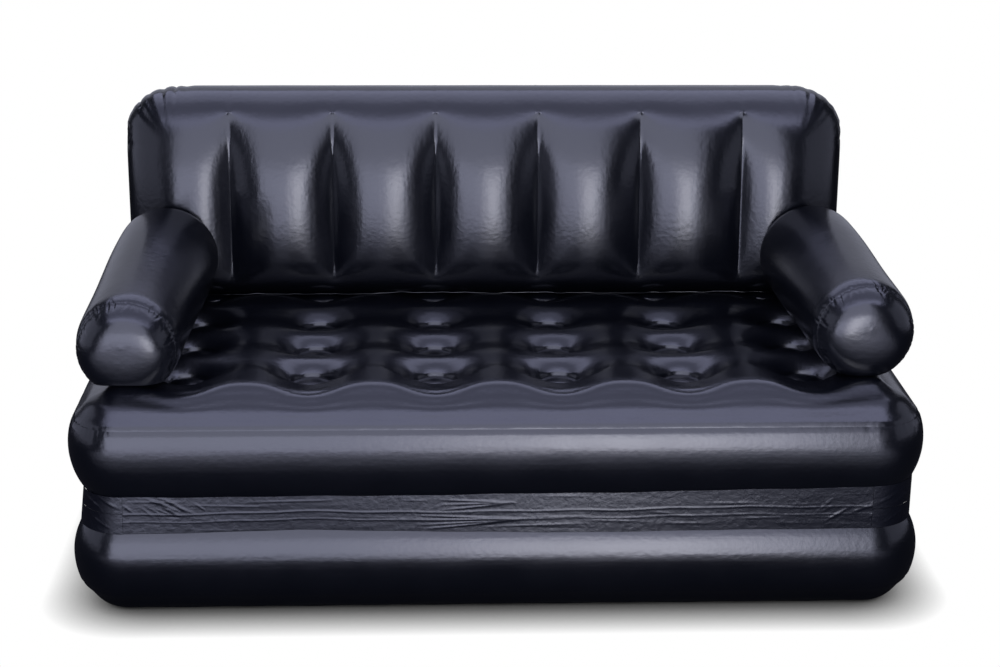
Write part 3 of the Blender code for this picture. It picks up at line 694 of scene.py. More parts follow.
back_low, back_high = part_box("back_front_sheet")
rear_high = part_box("back_rear_sheet")[1]
seam_flange = 0.006
seam_gap = 0.0002
back_half_width = back_high.x - seam_flange
back_foot_z = back_low.z
back_height = back_high.z - seam_flange - back_foot_z
back_y = (back_low.y + rear_high.y) / 2
tube_count = 7
tube_pitch = 0.200
back_shift = -0.006
web_foot_half, web_head_half = 0.108, 0.092
web_foot = 0.0335
web_head = 0.369
head_narrowing, head_run = 0.009, 0.060
foot_half_depth = 0.070
back_corner_radius = 0.090
back_step = 0.0025
back_rounds = 700
foot_lift, foot_end_roll = 0.15, 0.11
foot_roll_heights, foot_roll_load = (0.02, 0.12), 2.5
side_roll_insets, side_roll_load = (0.08, 0.13), 0.6
groove_flat = 0.0018
weld_ridge, weld_start, weld_fade = 0.0008, 0.01, 0.045
seam_edge = 0.0005
tick_height, tick_z, tick_width = 0.0014, 0.397, 0.005
end_tube_lean = 0.010


def back_edge_distance(x, z):
    """Distance from a place on the backrest to its side or top seam."""
    across, below = back_half_width - np.abs(x), back_height - z
    reach = np.hypot(np.maximum(back_corner_radius - across, 0), np.maximum(back_corner_radius - below, 0))
    in_corner = (across < back_corner_radius) & (below < back_corner_radius)
    return np.where(in_corner, back_corner_radius - reach, np.minimum(across, below))


def web_half(z):
    """Half the depth of a web at a height over the backrest's foot; its head is cut narrower."""
    even = web_foot_half + (web_head_half - web_foot_half) * (z - web_foot) / (web_head - web_foot)
    return even - head_narrowing * smooth_share(z, web_head - head_run, web_head)


def back_relief():
    """Square of the backrest's half depth, which settles like a film: a free tube then comes out round."""
    columns = int(round(back_half_width / back_step)) + 3
    rows = int(round(back_height / back_step)) + 3
    x, z = np.meshgrid((np.arange(columns) - 1) * back_step, (np.arange(rows) - 1) * back_step)
    foot = z <= 0
    edge_roll = np.clip(back_edge_distance(x, z + foot_lift) / foot_end_roll, 0, 1)
    value = np.where(foot, foot_half_depth ** 2 * (1 - (1 - edge_roll) ** 2), 0.0)
    held = np.where(foot | (back_edge_distance(x, z) <= 0.0), 1.0, 0.0)
    for k in range(tube_count // 2):
        web = (k + 0.5) * tube_pitch
        on_web = (np.abs(x - web) < back_step / 2) & (z > web_foot) & (z < web_head)
        value = np.where(on_web, web_half(z) ** 2, value)
        held = np.where(on_web, 1.0, held)
    # the film curves both ways over the foot and the side rolls
    foot_roll = 1 - smooth_share(z, *foot_roll_heights)
    side_roll = 1 - smooth_share(back_half_width - np.abs(x), *side_roll_insets)
    load = 2 + foot_roll_load * foot_roll + side_roll_load * side_roll
    return settle(load * back_step ** 2, held, value, back_rounds)


back_square = back_relief()


def back_depth(x, z):
    square = sample(back_square, np.abs(x) / back_step + 1, z / back_step + 1)
    return np.sqrt(np.maximum(square, 0))


def back_outline_top(x):
    into = np.maximum(np.abs(x) - (back_half_width - back_corner_radius), 0)
    return back_height - back_corner_radius + np.sqrt(np.maximum(back_corner_radius ** 2 - into ** 2, 0))


end_column_step = 0.012
# Where the columns stand in a tube, from its crest to its groove
column_shares = (0, 0.15, 0.3, 0.43, 0.55, 0.66, 0.76, 0.84, 0.9, 0.94, 0.965, 0.98, 0.99)


def back_columns():
    """The x of each column: close together at the grooves, where a flat strip is welded to the beam."""
    half = np.array(column_shares) * tube_pitch / 2
    tube = np.concatenate([-half[:0:-1], half])
    middles = [(k - (tube_count - 1) / 2) * tube_pitch for k in range(tube_count)]
    grooves = [(k - tube_count / 2) * tube_pitch for k in range(1, tube_count)]
    inner = np.concatenate([middle + tube for middle in middles[1:-1]] + [grooves])
    rest = np.linspace(middles[-1] + end_column_step, back_half_width, 24)
    outer = np.concatenate([middles[-1] + tube[:len(half)], rest])
    return np.sort(np.concatenate([inner, outer, -outer]))


# Where the welded edge is gathered at the two upper corners: places along the
# edge from the corner's lower end, and how far the edge is drawn in there
left_notches = ((-0.011, 0.0055), (0.006, 0.0045), (0.020, 0.0035), (0.046, 0.0020), (0.069, 0.0060),
                (0.092, 0.0022), (0.118, 0.0050), (0.141, 0.0040), (0.163, 0.0030))
right_notches = ((-0.006, 0.0020), (0.018, 0.0024), (0.041, 0.0016), (0.066, 0.0028), (0.090, 0.0018),
                 (0.112, 0.0026), (0.139, 0.0020), (0.160, 0.0016))
notch_width, notch_reach = 0.0045, 0.012
crease_share, crease_start_width, crease_spread = 1.3, 0.004, 0.10
crease_grows_over, crease_reach = 0.004, 0.022
below_corner, beside_corner = 0.05, 0.09


def corner_gather(x, z, depth, edge):
    """Move places on the backrest's film as its gathered corners do; gives back x, z and depth."""
    across = np.abs(x) - (back_half_width - back_corner_radius)
    up = z - (back_height - back_corner_radius)
    turn = np.arctan2(np.maximum(up, 0), np.maximum(across, 1e-9))
    along = back_corner_radius * turn + np.minimum(up, 0) - np.minimum(across, 0)
    drawn, crease = np.zeros_like(x), np.zeros_like(x)
    for hand, notches in ((-1, left_notches), (1, right_notches)):
        for place, depth_in in notches:
            off = np.where(np.sign(x) == hand, np.abs(along - place), 1.0)
            drawn += depth_in * np.exp(-off / notch_width)
            width = crease_start_width + crease_spread * edge
            crease += crease_share * depth_in * np.exp(-(off / width) ** 2)
    near = (up > -below_corner) & (across > -beside_corner)
    drawn = np.where(near, drawn * np.exp(-edge / notch_reach), 0.0)
    grown = np.clip(edge / crease_grows_over, 0, 1)
    crease = np.where(near, crease * grown * np.exp(-edge / crease_reach), 0.0)
    return x - np.sign(x) * drawn * np.cos(turn), z - drawn * np.sin(turn), np.maximum(depth - crease, 0)


def back_film(name, facing, node):
    """Front or rear film of the backrest, from its welded edge over the tubes."""
    x = back_columns()
    # rows lie closer together near the top seam
    rows = back_height * (1 - (1 - np.linspace(0, 1, 84)) ** 1.35)
    x, height = np.meshgrid(x, rows)
    z = height / back_height * back_outline_top(x)
    depth = back_depth(x, z)
    edge = np.clip(back_edge_distance(x, z), 0, None)
    depth = np.where(edge < seam_edge, 0, depth)
    groove = np.minimum.reduce([np.abs(np.abs(x) - (k + 0.5) * tube_pitch) for k in range(tube_count // 2)])
    on_weld = np.exp(-(groove / groove_flat) ** 2)
    in_web = np.clip((z - web_foot) / weld_start, 0, 1) * smooth_share(web_head - z, 0.0, weld_fade)
    tick = np.exp(-((z - tick_z) / tick_width) ** 2) * (depth > 0)
    depth = depth + on_weld * (weld_ridge * in_web + tick_height * tick)
    x, z, depth = corner_gather(x, z, depth, edge)
    # the crests of the two end tubes lie nearer their webs
    last_web = (tube_count / 2 - 1) * tube_pitch
    beyond = np.clip((np.abs(x) - last_web) / (back_half_width - last_web), 0, 1)
    x = x - np.sign(x) * end_tube_lean * np.sin(math.pi * beyond) ** 2 + back_shift
    if facing > 0:
        seat = valve_seat("back_valve_neck")
        held = seat.y - back_y - 2 * seam_gap
        depth = held + (depth - held) * off_valve(x, back_foot_z + z, seat)
    sheet = film_grid(name, np.stack([x, back_y + facing * (depth + seam_gap), back_foot_z + z], axis=-1))
    if facing > 0:
        open_for_valve(sheet, seat)
    dress_film(sheet, (None, back_y, None), "seat_section", node, upright_film)


back_film("backrest_front", -1, "back_front_sheet")
back_film("backrest_rear", 1, "back_rear_sheet")


# Arms
#
# Each arm is a tube of film with a round end sheet gathered into it at the
# front. It lies pressed on the seat, and its rear end is welded flat to the
# backrest.

arm_radius_rear = 0.098
arm_radius_front = 0.091
arm_neck_radius = 0.0840
arm_press = 0.023
arm_toe_out = 0.020
arm_lift = 0.009
arm_skew = 0.010
arm_crease = 0.0023
arm_fold_pitch = 0.0085
arm_apex_rise = 0.022
arm_turn_steps = 360
tube_floor, end_floor, rear_gap = 0.0009, 0.0006, 0.0003
tube_box_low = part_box("arm_left_tube")[0]
rear_box_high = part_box("arm_left_rear_cap")[1]
arm_rear_y = rear_box_high.y
arm_front_y = tube_box_low.y
arm_length = arm_rear_y - arm_front_y
seat_top_z = quilt_high.z
arm_rear_x = rear_box_high.x - arm_radius_rear
well_inside = 0.05
inside_arm = seat_top_z + well_inside


# The tube's radius along it from its gathered front seam
tube_profile = ((0.0, arm_neck_radius + 0.0022), (0.0022, arm_neck_radius + 0.0006),
                (0.0045, arm_neck_radius), (0.011, arm_neck_radius + 0.0034),
                (0.024, arm_radius_front - 0.0008), (0.045, arm_radius_front),
                (0.08, arm_radius_front + 0.0006), (0.18, arm_radius_front + 0.002),
                (0.34, arm_radius_rear), (arm_length - 0.02, arm_radius_rear),
                (arm_length - 0.006, arm_radius_rear - 0.003), (arm_length - 0.001, arm_radius_rear - 0.008))
# How far the front end stands out, at shares of the neck's radius
end_profile = ((-0.0004, 1.026), (0.0012, 1.008), (0.0040, 0.992), (0.0090, 0.972), (0.0160, 0.930),
               (0.0240, 0.865), (0.0320, 0.770), (0.0385, 0.640), (0.0430, 0.480), (0.0458, 0.280),
               (0.0470, 0.0))
# The same for the rear end, which is pressed flat against the backrest
rear_profile = ((0.004, 0.965), (0.001, 0.93), (0.0, 0.89), (0.0, 0.6), (0.0, 0.3), (0.0, 0.0))


def arm_ring(side, y, radius, angle, floor):
    """Ring of film round an arm's axis, pressed flat where it lies on the seat."""
    share = (arm_rear_y - y) / arm_length
    middle_x = arm_rear_x + arm_toe_out * share
    settled = arm_radius_rear + (arm_radius_front - arm_radius_rear) * share
    middle_z = seat_top_z + settled - (arm_press - side * arm_lift) * share
    x = side * (middle_x + radius * np.cos(angle))
    z = np.maximum(middle_z + radius * np.sin(angle), seat_top_z + floor)
    return np.stack([x, np.full_like(x, y + side * arm_skew * share), z], axis=-1)


def build_arm(name, side, seed):
    """Tube, domed front end and flat rear end of one arm."""
    angle = np.linspace(0, 2 * math.pi, arm_turn_steps + 1)
    s = angle * arm_neck_radius
    around = 2 * math.pi * arm_neck_radius
    profile = smooth_steps(tube_profile, 400)
    rows = []
    # rows lie closer together near the gathered seam
    for run in profile[-1][0] * np.linspace(0, 1, 90) ** 1.9:
        radius = np.interp(run, profile[:, 0], profile[:, 1])
        fold = gathers(s, np.full_like(s, run), around, arm_fold_pitch, reach=0.019, width=0.0022, seed=seed)
        depth = arm_crease * fold * (0.4 + 0.6 * smooth_share(run, 0.0, 0.005))
        rows.append(arm_ring(side, arm_front_y + run, radius - depth, angle, tube_floor))
    tube = film_grid(name + "_tube_film", np.array(rows))
    dress_film(tube, (side * arm_rear_x, None, inside_arm), "seat_section", name + "_tube", upright_film)
    rows = []
    for bulge, share in smooth_steps(end_profile, 60):
        inward = (1 - share) * arm_neck_radius + max(bulge, 0)
        away = np.full_like(s, inward)
        fold = gathers(s, away, around, arm_fold_pitch, reach=0.034, width=0.0024, seed=seed + 1)
        fold = fold * min(share * 1.3, 1.0)
        radius = arm_neck_radius * share - 0.4 * arm_crease * fold
        risen = np.full_like(s, arm_apex_rise * (1 - min(share, 1.0)) ** 1.2)
        pressed_in = arm_crease * fold * smooth_share(inward, 0.0, 0.006)
        rows.append(arm_ring(side, arm_front_y - bulge, radius, angle, end_floor)
                    + np.stack([0 * s, pressed_in, risen], axis=-1))
    cap = film_grid(name + "_end_film", np.array(rows))
    dress_film(cap, (side * arm_rear_x, arm_front_y + well_inside, inside_arm), "seat_section",
               name + "_front_cap")
    rows = [arm_ring(side, arm_rear_y - rear_gap - back, arm_radius_rear * share, angle, end_floor)
            for back, share in rear_profile]
    end = film_grid(name + "_rear_film", np.array(rows))
    dress_film(end, (None, arm_rear_y - well_inside, None), "seat_section", name + "_rear_cap")


build_arm("arm_left", 1, 31)
build_arm("arm_right", -1, 41)


# Hinge film
#
# A slack band of the same film joins the two mattresses along the front. Its
# middle bends over the fold, and its ends are wrapped round the front corners,
# where they are cut open along the fold so that the lower mattress can swing.

hinge_half_width = 0.655
hinge_columns = 640
hinge_off = 0.0006
fold_gap = 0.00015
# Heights of the band's upper and lower edge and of its crease, along x
hinge_top = ((-0.66, 0.2268), (-0.35, 0.2265), (-0.09, 0.2276), (0.19, 0.2302), (0.44, 0.2343),
             (0.66, 0.2400))
hinge_foot = ((-0.66, 0.1612), (-0.35, 0.1664), (0.09, 0.1590), (0.66, 0.1616))
hinge_crease = ((-0.66, 0.1950), (-0.35, 0.1985), (0.00, 0.1965), (0.30, 0.2010), (0.66, 0.2030))
edge_waves = ((0.0005, 17, 1.0), (0.0004, 41, 2.1))
crease_height, crease_width = 0.0006, 0.0013
lower_crease_height, lower_crease_width, lower_crease_drop = 0.0004, 0.0012, 0.014
# Slanting folds on the ends: where each starts, and its size
end_fold_starts = ((0.66, 0.226), (0.70, 0.222), (0.68, 0.190), (0.73, 0.229))
end_fold_run, end_fold_drop, end_fold_height, end_fold_width = 0.06, 0.02, 0.0007, 0.0024


def on_line(x, stations):
    places, heights = zip(*stations)
    return np.interp(x, places, heights)


def band_height(z, side):
    """Height over the plain face of a place on a mattress's front side, from its world height."""
    middle = layer_z(0.0, side, 0.0, -half_depth)
    return (z - middle) / (side + front_sag / sag_height)


def hinge_inset(z, top, foot):
    """How far in the hinge film lies, drawn straight from its edge on one side band to the other."""
    line = smooth_steps(band_profile, 200)
    on_top, on_foot = (np.interp(band_height(edge, side), line[:, 1], line[:, 0]) - hinge_off
                       for edge, side in ((top, 1), (foot, -1)))
    return on_top + (on_foot - on_top) * (top - z) / (top - foot)


def fold_lines(x, z, lines):
    """Raised folds along straight lines, each given by its two ends, its height and its half width."""
    raised = np.zeros(np.broadcast(x, z).shape)
    for x0, z0, x1, z1, height, width in lines:
        run = np.array([x1 - x0, z1 - z0])
        length = math.hypot(*run)
        along = ((x - x0) * run[0] + (z - z0) * run[1]) / length
        off = ((z - z0) * run[0] - (x - x0) * run[1]) / length
        ends = np.clip(np.minimum(along, length - along) / (0.35 * length), 0, 1)
        raised += height * ends * np.exp(-(off / width) ** 2)
    return raised


def hinge_folds():
    """Folds of the slack band: long ones along it, slanting ones near its ends and a pinch in its middle."""
    random = np.random.default_rng(51)
    lines = []
    for k in range(40):
        x0, z0 = random.uniform(-0.66, 0.60), random.uniform(0.166, 0.226)
        length, lean = random.uniform(0.04, 0.20), random.uniform(-0.005, 0.005)
        height, width = random.uniform(-0.0003, 0.0005), random.uniform(0.0010, 0.0022)
        lines.append((x0, z0, x0 + length, z0 + lean, height, width))
    for start, end, count in ((-0.70, -0.52, 12), (0.56, 0.70, 8)):
        for k in range(count):
            x0, z0 = random.uniform(start, end), random.uniform(0.205, 0.232)
            length, lean = random.uniform(0.012, 0.060), random.uniform(0.35, 0.95)
            height, width = random.uniform(0.0003, 0.0010), random.uniform(0.0014, 0.0030)
            hand = 1 if start < 0 else -1
            lines.append((x0, z0, x0 + hand * length, z0 - lean * length, height, width))
    # each pinch is a fan of folds that run together at its right end
    for x0, z0, x1, z1, spread, height, rises in (
            (-0.15, 0.181, 0.045, 0.183, 1.4, 0.0009, (-0.012, -0.006, 0.001, 0.007)),
            (-0.11, 0.212, 0.030, 0.213, 1.3, 0.0008, (-0.010, -0.002, 0.005))):
        lines += [(x0, z0 + spread * rise, x1, z1, height, 0.0015) for rise in rises]
    return lines


def hinge_band():
    """The straight part of the band along the front, with its crease and folds."""
    x = np.linspace(-hinge_half_width, hinge_half_width, hinge_columns)
    x, share = np.meshgrid(x, np.linspace(0, 1, 46))
    top, foot, crease = on_line(x, hinge_top), on_line(x, hinge_foot), on_line(x, hinge_crease)
    wander = sum(height * np.sin(count * x + phase) for height, count, phase in edge_waves)
    z = top + (foot - top) * share + wander
    crease = crease + 2 * wander
    bent = crease_height * np.exp(-((z - crease) / crease_width) ** 2)
    bent += lower_crease_height * np.exp(-((z - crease + lower_crease_drop) / lower_crease_width) ** 2)
    slack = np.clip(np.minimum(share, 1 - share) * 8, 0, 1)
    y = middle_y - half_depth + hinge_inset(z, top, foot) - (bent + fold_lines(x, z, hinge_folds())) * slack
    sheet = film_grid("hinge_band", np.stack([x, y, z], axis=-1))
    face_away(sheet, (None, 0, None))
    give_thickness(sheet)
    return sheet


def hinge_ends(name, side, body):
    """The band's two ends on one mattress, from its edge on the side band to the fold."""
    seam_space, past_corner = 0.0006, 0.010
    quarter = math.pi / 2 * corner_radius
    straight_x = half_width - corner_radius
    s = np.linspace(straight_x + seam_space, straight_x + quarter + past_corner, 90)
    x, y, nx, ny = outline(s)[:4]
    patches = []
    for hand in (1, -1):
        top, foot = (on_line(hand * hinge_half_width, line) for line in (hinge_top, hinge_foot))
        rows = []
        folds = [(hand * (place + end_fold_run), z, hand * place, z - end_fold_drop, end_fold_height,
                  end_fold_width) for place, z in end_fold_starts]
        for height in np.linspace(band_height(top if side > 0 else foot, side), fold_gap, 20):
            z = layer_z(np.full_like(s, height), side, 0.0, y)
            depth = hinge_inset(z, top, foot) - fold_lines(hand * s, z, folds)
            rows.append(np.stack([hand * (x - nx * depth), y - ny * depth, z], axis=-1))
        patches.append(np.array(rows))
    sheet = film_grid(name, *patches)
    face_away(sheet, (0, middle_y, None))
    give_thickness(sheet)
    sheet.data.materials.append(hinge_skin)
    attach(sheet, body)
    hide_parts("hinge_strip_upper" if side > 0 else "hinge_strip_lower")
    return sheet


hinge_skin = calendered_film("creased_hinge_film", "#05060a", "#090a10", 0.27, 0.5, (6, 60, 60), 1.44)
band = hinge_band()
band.data.materials.append(hinge_skin)
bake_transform(band)
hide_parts("hinge_strip_upper", "hinge_strip_lower")
ends = [hinge_ends("hinge_ends_upper", 1, "seat_section"),
        hinge_ends("hinge_ends_lower", -1, "base_section")]


# Coil beams
#
# Inside each mattress four rows of film strip stand on edge under the round
# welds. Two strips are welded together between the coils, and part round each.

beam_gap = 0.0005
beam_foot, beam_head_gap = 0.0012, 0.0030
coil_steps = 18


def coil_path(facing):
    """One strip of a row from above: half circles round the welds, and straight runs between them."""
    x, y = [], []
    for wx in weld_x:
        angle = np.linspace(math.pi, 0, coil_steps)
        x += list(wx + weld_radius * np.cos(angle))
        y += list(facing * np.maximum(weld_radius * np.sin(angle), beam_gap))
    return np.array(x), np.array(y)


def coil_row(name, row, side, body):
    """One row of coil beams, under one row of round welds."""
    heights = np.linspace(beam_foot, layer_height - weld_depth - beam_head_gap, 7)
    patches = []
    for facing in (-1, 1):
        x, y = coil_path(facing)
        patches.append(np.array([np.stack([x, weld_y[row] + y, layer_z(np.full_like(x, h), side)], axis=-1)
                                 for h in heights]))
    sheet = film_grid(name + "_film", *patches)
    give_thickness(sheet, offset=0)
    dress_piece(sheet, inner_film, body, name)


for row in range(weld_rows):
    coil_row("seat_coil_row_%d" % (row + 1), row, 1, "seat_section")
    coil_row("base_coil_row_%d" % (row + 1), row, -1, "base_section")


# Webs and foot sheet of the backrest
#
# Each web is a film beam with a flange welded to the front film and one to the
# rear film. The foot sheet closes the backrest and is welded down on the seat;
# its free margin lies on the seat in front of the backrest, a little wavy.


def back_web(name, middle):
    """One I-beam of film that stands upright between the front and the rear film."""
    half, flange, end_gap, film_gap = film / 2, 0.006, 0.002, 0.0012
    rows = []
    for height in np.linspace(web_foot + end_gap, web_head - end_gap, 24):
        reach = web_half(height) - film_gap
        quarter = [(half, reach - film), (flange, reach - film), (flange, reach)]
        loop = quarter + [(-px, py) for px, py in reversed(quarter)]
        loop = loop + [(-px, -py) for px, py in loop]
        loop.append(loop[0])
        rows.append([(middle + px, back_y + py, back_foot_z + height) for px, py in loop])
    sheet = film_grid(name + "_film", np.array(rows))
    fill_ends(sheet)
    dress_piece(sheet, inner_film, "seat_section", name)


for k in range(tube_count - 1):
    back_web("back_web_%d" % (k + 1), (k + 1 - tube_count / 2) * tube_pitch + back_shift)


def foot_sheet():
    """Sheet under the backrest, with its free margins."""
    end_run, end_half_depth = 0.110, 0.012
    margin_lift, margin_wave, edge_wave = 0.0012, 0.0011, 0.0012
    low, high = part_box("back_floor_sheet")
    half_x, half_y = (high.x - low.x) / 2, (high.y - low.y) / 2
    x = np.linspace(-half_x, half_x, 300)
    rows = []
    random = np.random.default_rng(61)
    phases = random.uniform(0, 6.28, 5)
    heights, counts = (0.9, 0.7, 0.5, 0.35, 0.3), (9, 23, 47, 88, 151)
    wave = sum(height * np.sin(count * x + phase) for height, count, phase in zip(heights, counts, phases))
    margin_shares, middle_shares = np.linspace(0.84, 1, 9), np.linspace(-0.6, 0.6, 5)
    for share in np.concatenate([-margin_shares[::-1], middle_shares, margin_shares]):
        # the outline narrows towards its ends
        reach = np.interp(np.abs(x), (half_x - end_run, half_x), (half_y, end_half_depth))
        y = share * reach
        margin = np.clip((np.abs(y) - foot_half_depth) / (half_y - foot_half_depth), 0, 1)
        lift = margin ** 1.5 * (margin_lift + margin_wave * np.maximum(wave, -0.8))
        rows.append(np.stack([x, back_y + y + edge_wave * wave * margin, low.z + film + lift], axis=-1))
    sheet = film_grid("foot_sheet_film", np.array(rows))
    face_away(sheet, (None, None, 0))
    give_thickness(sheet)
    dress_piece(sheet, outer_film, "seat_section", "back_floor_sheet")


foot_sheet()


# Valves
#
# One for each air chamber: a moulded neck whose flange is welded to the film,
# a rubber flap behind its stub, a ribbed screw cap and the leash that keeps it.

plastic_angle = 30
bore_radius, neck_radius, stub_radius, cap_radius = 0.0105, 0.0140, 0.0130, 0.0185
stub_length, flange_radius, flange_thickness = 0.0120, 0.0250, 0.0015
cap_under, cap_top_thickness, plug_length = 0.0153, 0.0025, 0.0050
skirt, button_radius, button_lip = 0.0031, 0.0030, 0.0048
button_under, button_top = 0.0194, 0.0209
leash_thickness, leash_half_width = 0.0010, 0.0035
leash_low, leash_high = 0.0018, 0.0181
rib_count, rib_depth, rib_end = 28, 0.0009, 0.0006
thread_depth, thread_pitch, thread_end = 0.0006, 0.0030, 0.0010
running_gap, edge_easing, cap_chamfer = 0.0003, 0.0004, 0.0012
flap_thickness, ring_width, turning_steps = 0.0012, 0.003, 168
leash_bend, leash_root = 0.0022, 0.0018
on_wall_reach, wall_end = 0.0001, 0.0008
thin_easing, thinnest_easing, most_easing = 0.0003, 0.0002, 0.4


def eased(loop, ease=edge_easing):
    """Loop of radius and height with its corners off the axis rounded."""
    made = []
    for k, corner in enumerate(loop):
        corner = np.array(corner, float)
        before, after = np.array(loop[k - 1], float), np.array(loop[(k + 1) % len(loop)], float)
        if corner[0] == 0:
            made.append(corner)
            continue
        a = corner + (before - corner) * min(ease / np.linalg.norm(before - corner), most_easing)
        b = corner + (after - corner) * min(ease / np.linalg.norm(after - corner), most_easing)
        made += [a, (a + b) / 4 + corner / 2, b]
    return np.array(made)


def turned(name, loop, seat, carve=None, steps=turning_steps):
    """Solid turned about the line rearward from a valve's seat; carve gives how deep its face is cut."""
    angle = np.linspace(0, 2 * math.pi, steps + 1)
    if loop[0][0] > 0:
        loop = np.vstack([loop, loop[:1]])
    radius = np.repeat(loop[:, :1], steps + 1, axis=1)
    height = np.repeat(loop[:, 1:], steps + 1, axis=1)
    if carve:
        radius = radius - carve(radius, height, angle)
    x, z = seat.x + radius * np.cos(angle), seat.z + radius * np.sin(angle)
    return film_grid(name, np.stack([x, seat.y + height, z], axis=-1))


def neck_thread(radius, height, angle):
    on_wall = (np.abs(radius - neck_radius) < on_wall_reach) & (height > flange_thickness + thread_end)
    groove = 0.5 - 0.5 * np.cos(2 * math.pi * height / thread_pitch - angle)
    return np.where(on_wall, thread_depth * groove ** 2, 0.0)


def cap_ribs(radius, height, angle):
    top = cap_under + cap_top_thickness
    on_wall = (radius > cap_radius - on_wall_reach) & (height > skirt + rib_end) & (height < top - rib_end)
    return np.where(on_wall, rib_depth * (0.5 + 0.5 * np.cos(rib_count * angle)) ** 3, 0.0)


def leash_strap(name, seat):
    """Strap in the plane of the valve's line: out over the flange, up past the cap and back to its button."""
    far, bulge, farthest = cap_radius + 0.0008, 0.0004, 0.0006
    stations = ((neck_radius + leash_root, leash_low), (far - leash_bend, leash_low),
                (far + bulge, leash_low + leash_bend), (far + farthest, (leash_low + leash_high) / 2),
                (far + bulge, leash_high - leash_bend), (far - leash_bend, leash_high),
                (button_radius + leash_root, leash_high))
    middle = smooth_steps(stations, 40)
    run = np.gradient(middle, axis=0)
    run /= np.linalg.norm(run, axis=1, keepdims=True)
    across = np.stack([-run[:, 1], run[:, 0]], axis=1) * leash_thickness / 2
    rows = []
    for place, off in zip(middle, across):
        inner, outer = place + off, place - off
        rows.append([(seat.x + p[0], seat.y + p[1] + leash_thickness / 2, seat.z + hand * leash_half_width)
                     for p, hand in ((inner, -1), (inner, 1), (outer, 1), (outer, -1), (inner, -1))])
    strap = film_grid(name, np.array(rows))
    fill_ends(strap)
    return strap


def merged(name, *parts):
    """Join the parts of one moulded piece."""
    bpy.ops.object.select_all(action="DESELECT")
    for part in parts:
        part.select_set(True)
    bpy.context.view_layer.objects.active = parts[0]
    bpy.ops.object.join()
    parts[0].name = parts[0].data.name = name
    return parts[0]


def build_valve(prefix, body):
    """Neck, flap, cap and leash of one air chamber's valve."""
    node = prefix + "_valve_"
    seat = valve_seat(node + "neck")
    wall = [(neck_radius, h) for h in np.linspace(neck_length - wall_end, flange_thickness + wall_end, 40)]
    lip = eased([(bore_radius, -stub_length), (bore_radius, neck_length), (neck_radius, neck_length)])
    flange = eased([(neck_radius, flange_thickness), (flange_radius, flange_thickness), (flange_radius, 0),
                    (stub_radius, 0), (stub_radius, -stub_length)])[1:]
    neck = turned(prefix + "_neck", np.vstack([lip, wall, flange]), seat, neck_thread)
    dress_piece(neck, valve_plastic, body, node + "neck", plastic_angle)

    flap_top = -stub_length - running_gap
    loop = [(0, flap_top), (stub_radius, flap_top), (stub_radius, flap_top - flap_thickness),
            (0, flap_top - flap_thickness)]
    flap = turned(prefix + "_flap_disc", eased(loop, thin_easing), seat)
    dress_piece(flap, flap_rubber, prefix + "_flap", node + "flap", plastic_angle)

    top, inner, plug = cap_under + cap_top_thickness, neck_radius + running_gap, bore_radius - running_gap
    loop = [(0, cap_under - plug_length), (plug, cap_under - plug_length), (plug, cap_under),
            (inner, cap_under), (inner, skirt), (cap_radius, skirt), (cap_radius, skirt + cap_chamfer),
            (cap_radius, top - cap_chamfer), (cap_radius, top), (button_radius, top),
            (button_radius, button_under), (button_lip, button_under), (button_lip, button_top),
            (0, button_top)]
    cap = turned(prefix + "_screw_cap", eased(loop), seat, cap_ribs)
    dress_piece(cap, valve_plastic, prefix + "_cap", node + "cap", plastic_angle)

    rings = []
    for hole, height in ((neck_radius + running_gap, leash_low), (button_radius + running_gap, leash_high)):
        rim, above = hole + ring_width, height + leash_thickness
        loop = eased([(hole, height), (rim, height), (rim, above), (hole, above)], thinnest_easing)
        rings.append(turned(prefix + "_leash_ring", loop, seat, steps=96))
    leash = merged(prefix + "_leash_strap", leash_strap(prefix + "_leash_strap", seat), *rings)
    dress_piece(leash, valve_plastic, prefix + "_leash", node + "leash", plastic_angle)


def moulded(name, colour, roughness, grain_mm, **more):
    """Plain moulded plastic or rubber with the fine texture of its mould."""
    material, tree, shader = new_material(name)
    place = add_node(tree, "ShaderNodeTexCoord").outputs["Object"]
    grain = add_node(tree, "ShaderNodeTexNoise", [("Vector", place)], Scale=1000 / grain_mm, Detail=2.0)
    bump = add_node(tree, "ShaderNodeBump", [("Height", grain.outputs["Fac"])], Strength=0.3, Distance=0.0001)
    tree.links.new(bump.outputs["Normal"], shader.inputs["Normal"])
    shader.inputs["Base Color"].default_value = to_linear(colour)
    shader.inputs["Roughness"].default_value = roughness
    for key, value in more.items():
        shader.inputs[key.replace("_", " ")].default_value = value
    return material


valve_plastic = moulded("moulded_valve_plastic", "#16171a", 0.38, 0.7)
flap_rubber = moulded("milky_flap_rubber", "#c9c8c0", 0.45, 1.5, Transmission_Weight=0.25)
for prefix, body in (("seat", "seat_section"), ("base", "base_section"), ("back", "seat_section")):
    build_valve(prefix, body)


# Studio
#
# White background, and a white floor that glows for camera rays, with a painted contact
# shadow where ambient occlusion darkens it near the sofa; soft panels in front, on the
# floor, at the sides and overhead. The camera is where the photograph's was.

camera_place = Vector((-0.132, -3.7776, 1.579))
camera_yaw, camera_pitch, camera_roll = (math.radians(a) for a in (2.25, 17.65, 0.385))
sensor_width = 36.0
focal_pixels, image_width = 2050, 1000
# How far the ambient occlusion reaches and how hard it darkens, for the floor's painted contact shadow
painted_shadow_reach, painted_shadow_power = 0.09, 1.6

forward = Vector((math.sin(camera_yaw) * math.cos(camera_pitch),
                  math.cos(camera_yaw) * math.cos(camera_pitch), -math.sin(camera_pitch)))
level = Vector((math.cos(camera_yaw), -math.sin(camera_yaw), 0))
up = level.cross(forward)
right = level * math.cos(camera_roll) + up * math.sin(camera_roll)
above = up * math.cos(camera_roll) - level * math.sin(camera_roll)
turn = Matrix((right, above, -forward)).transposed()
bpy.ops.object.camera_add(location=camera_place, rotation=turn.to_euler())
camera = bpy.context.object
camera.data.sensor_width = sensor_width
camera.data.lens = focal_pixels / image_width * sensor_width
bpy.context.scene.camera = camera

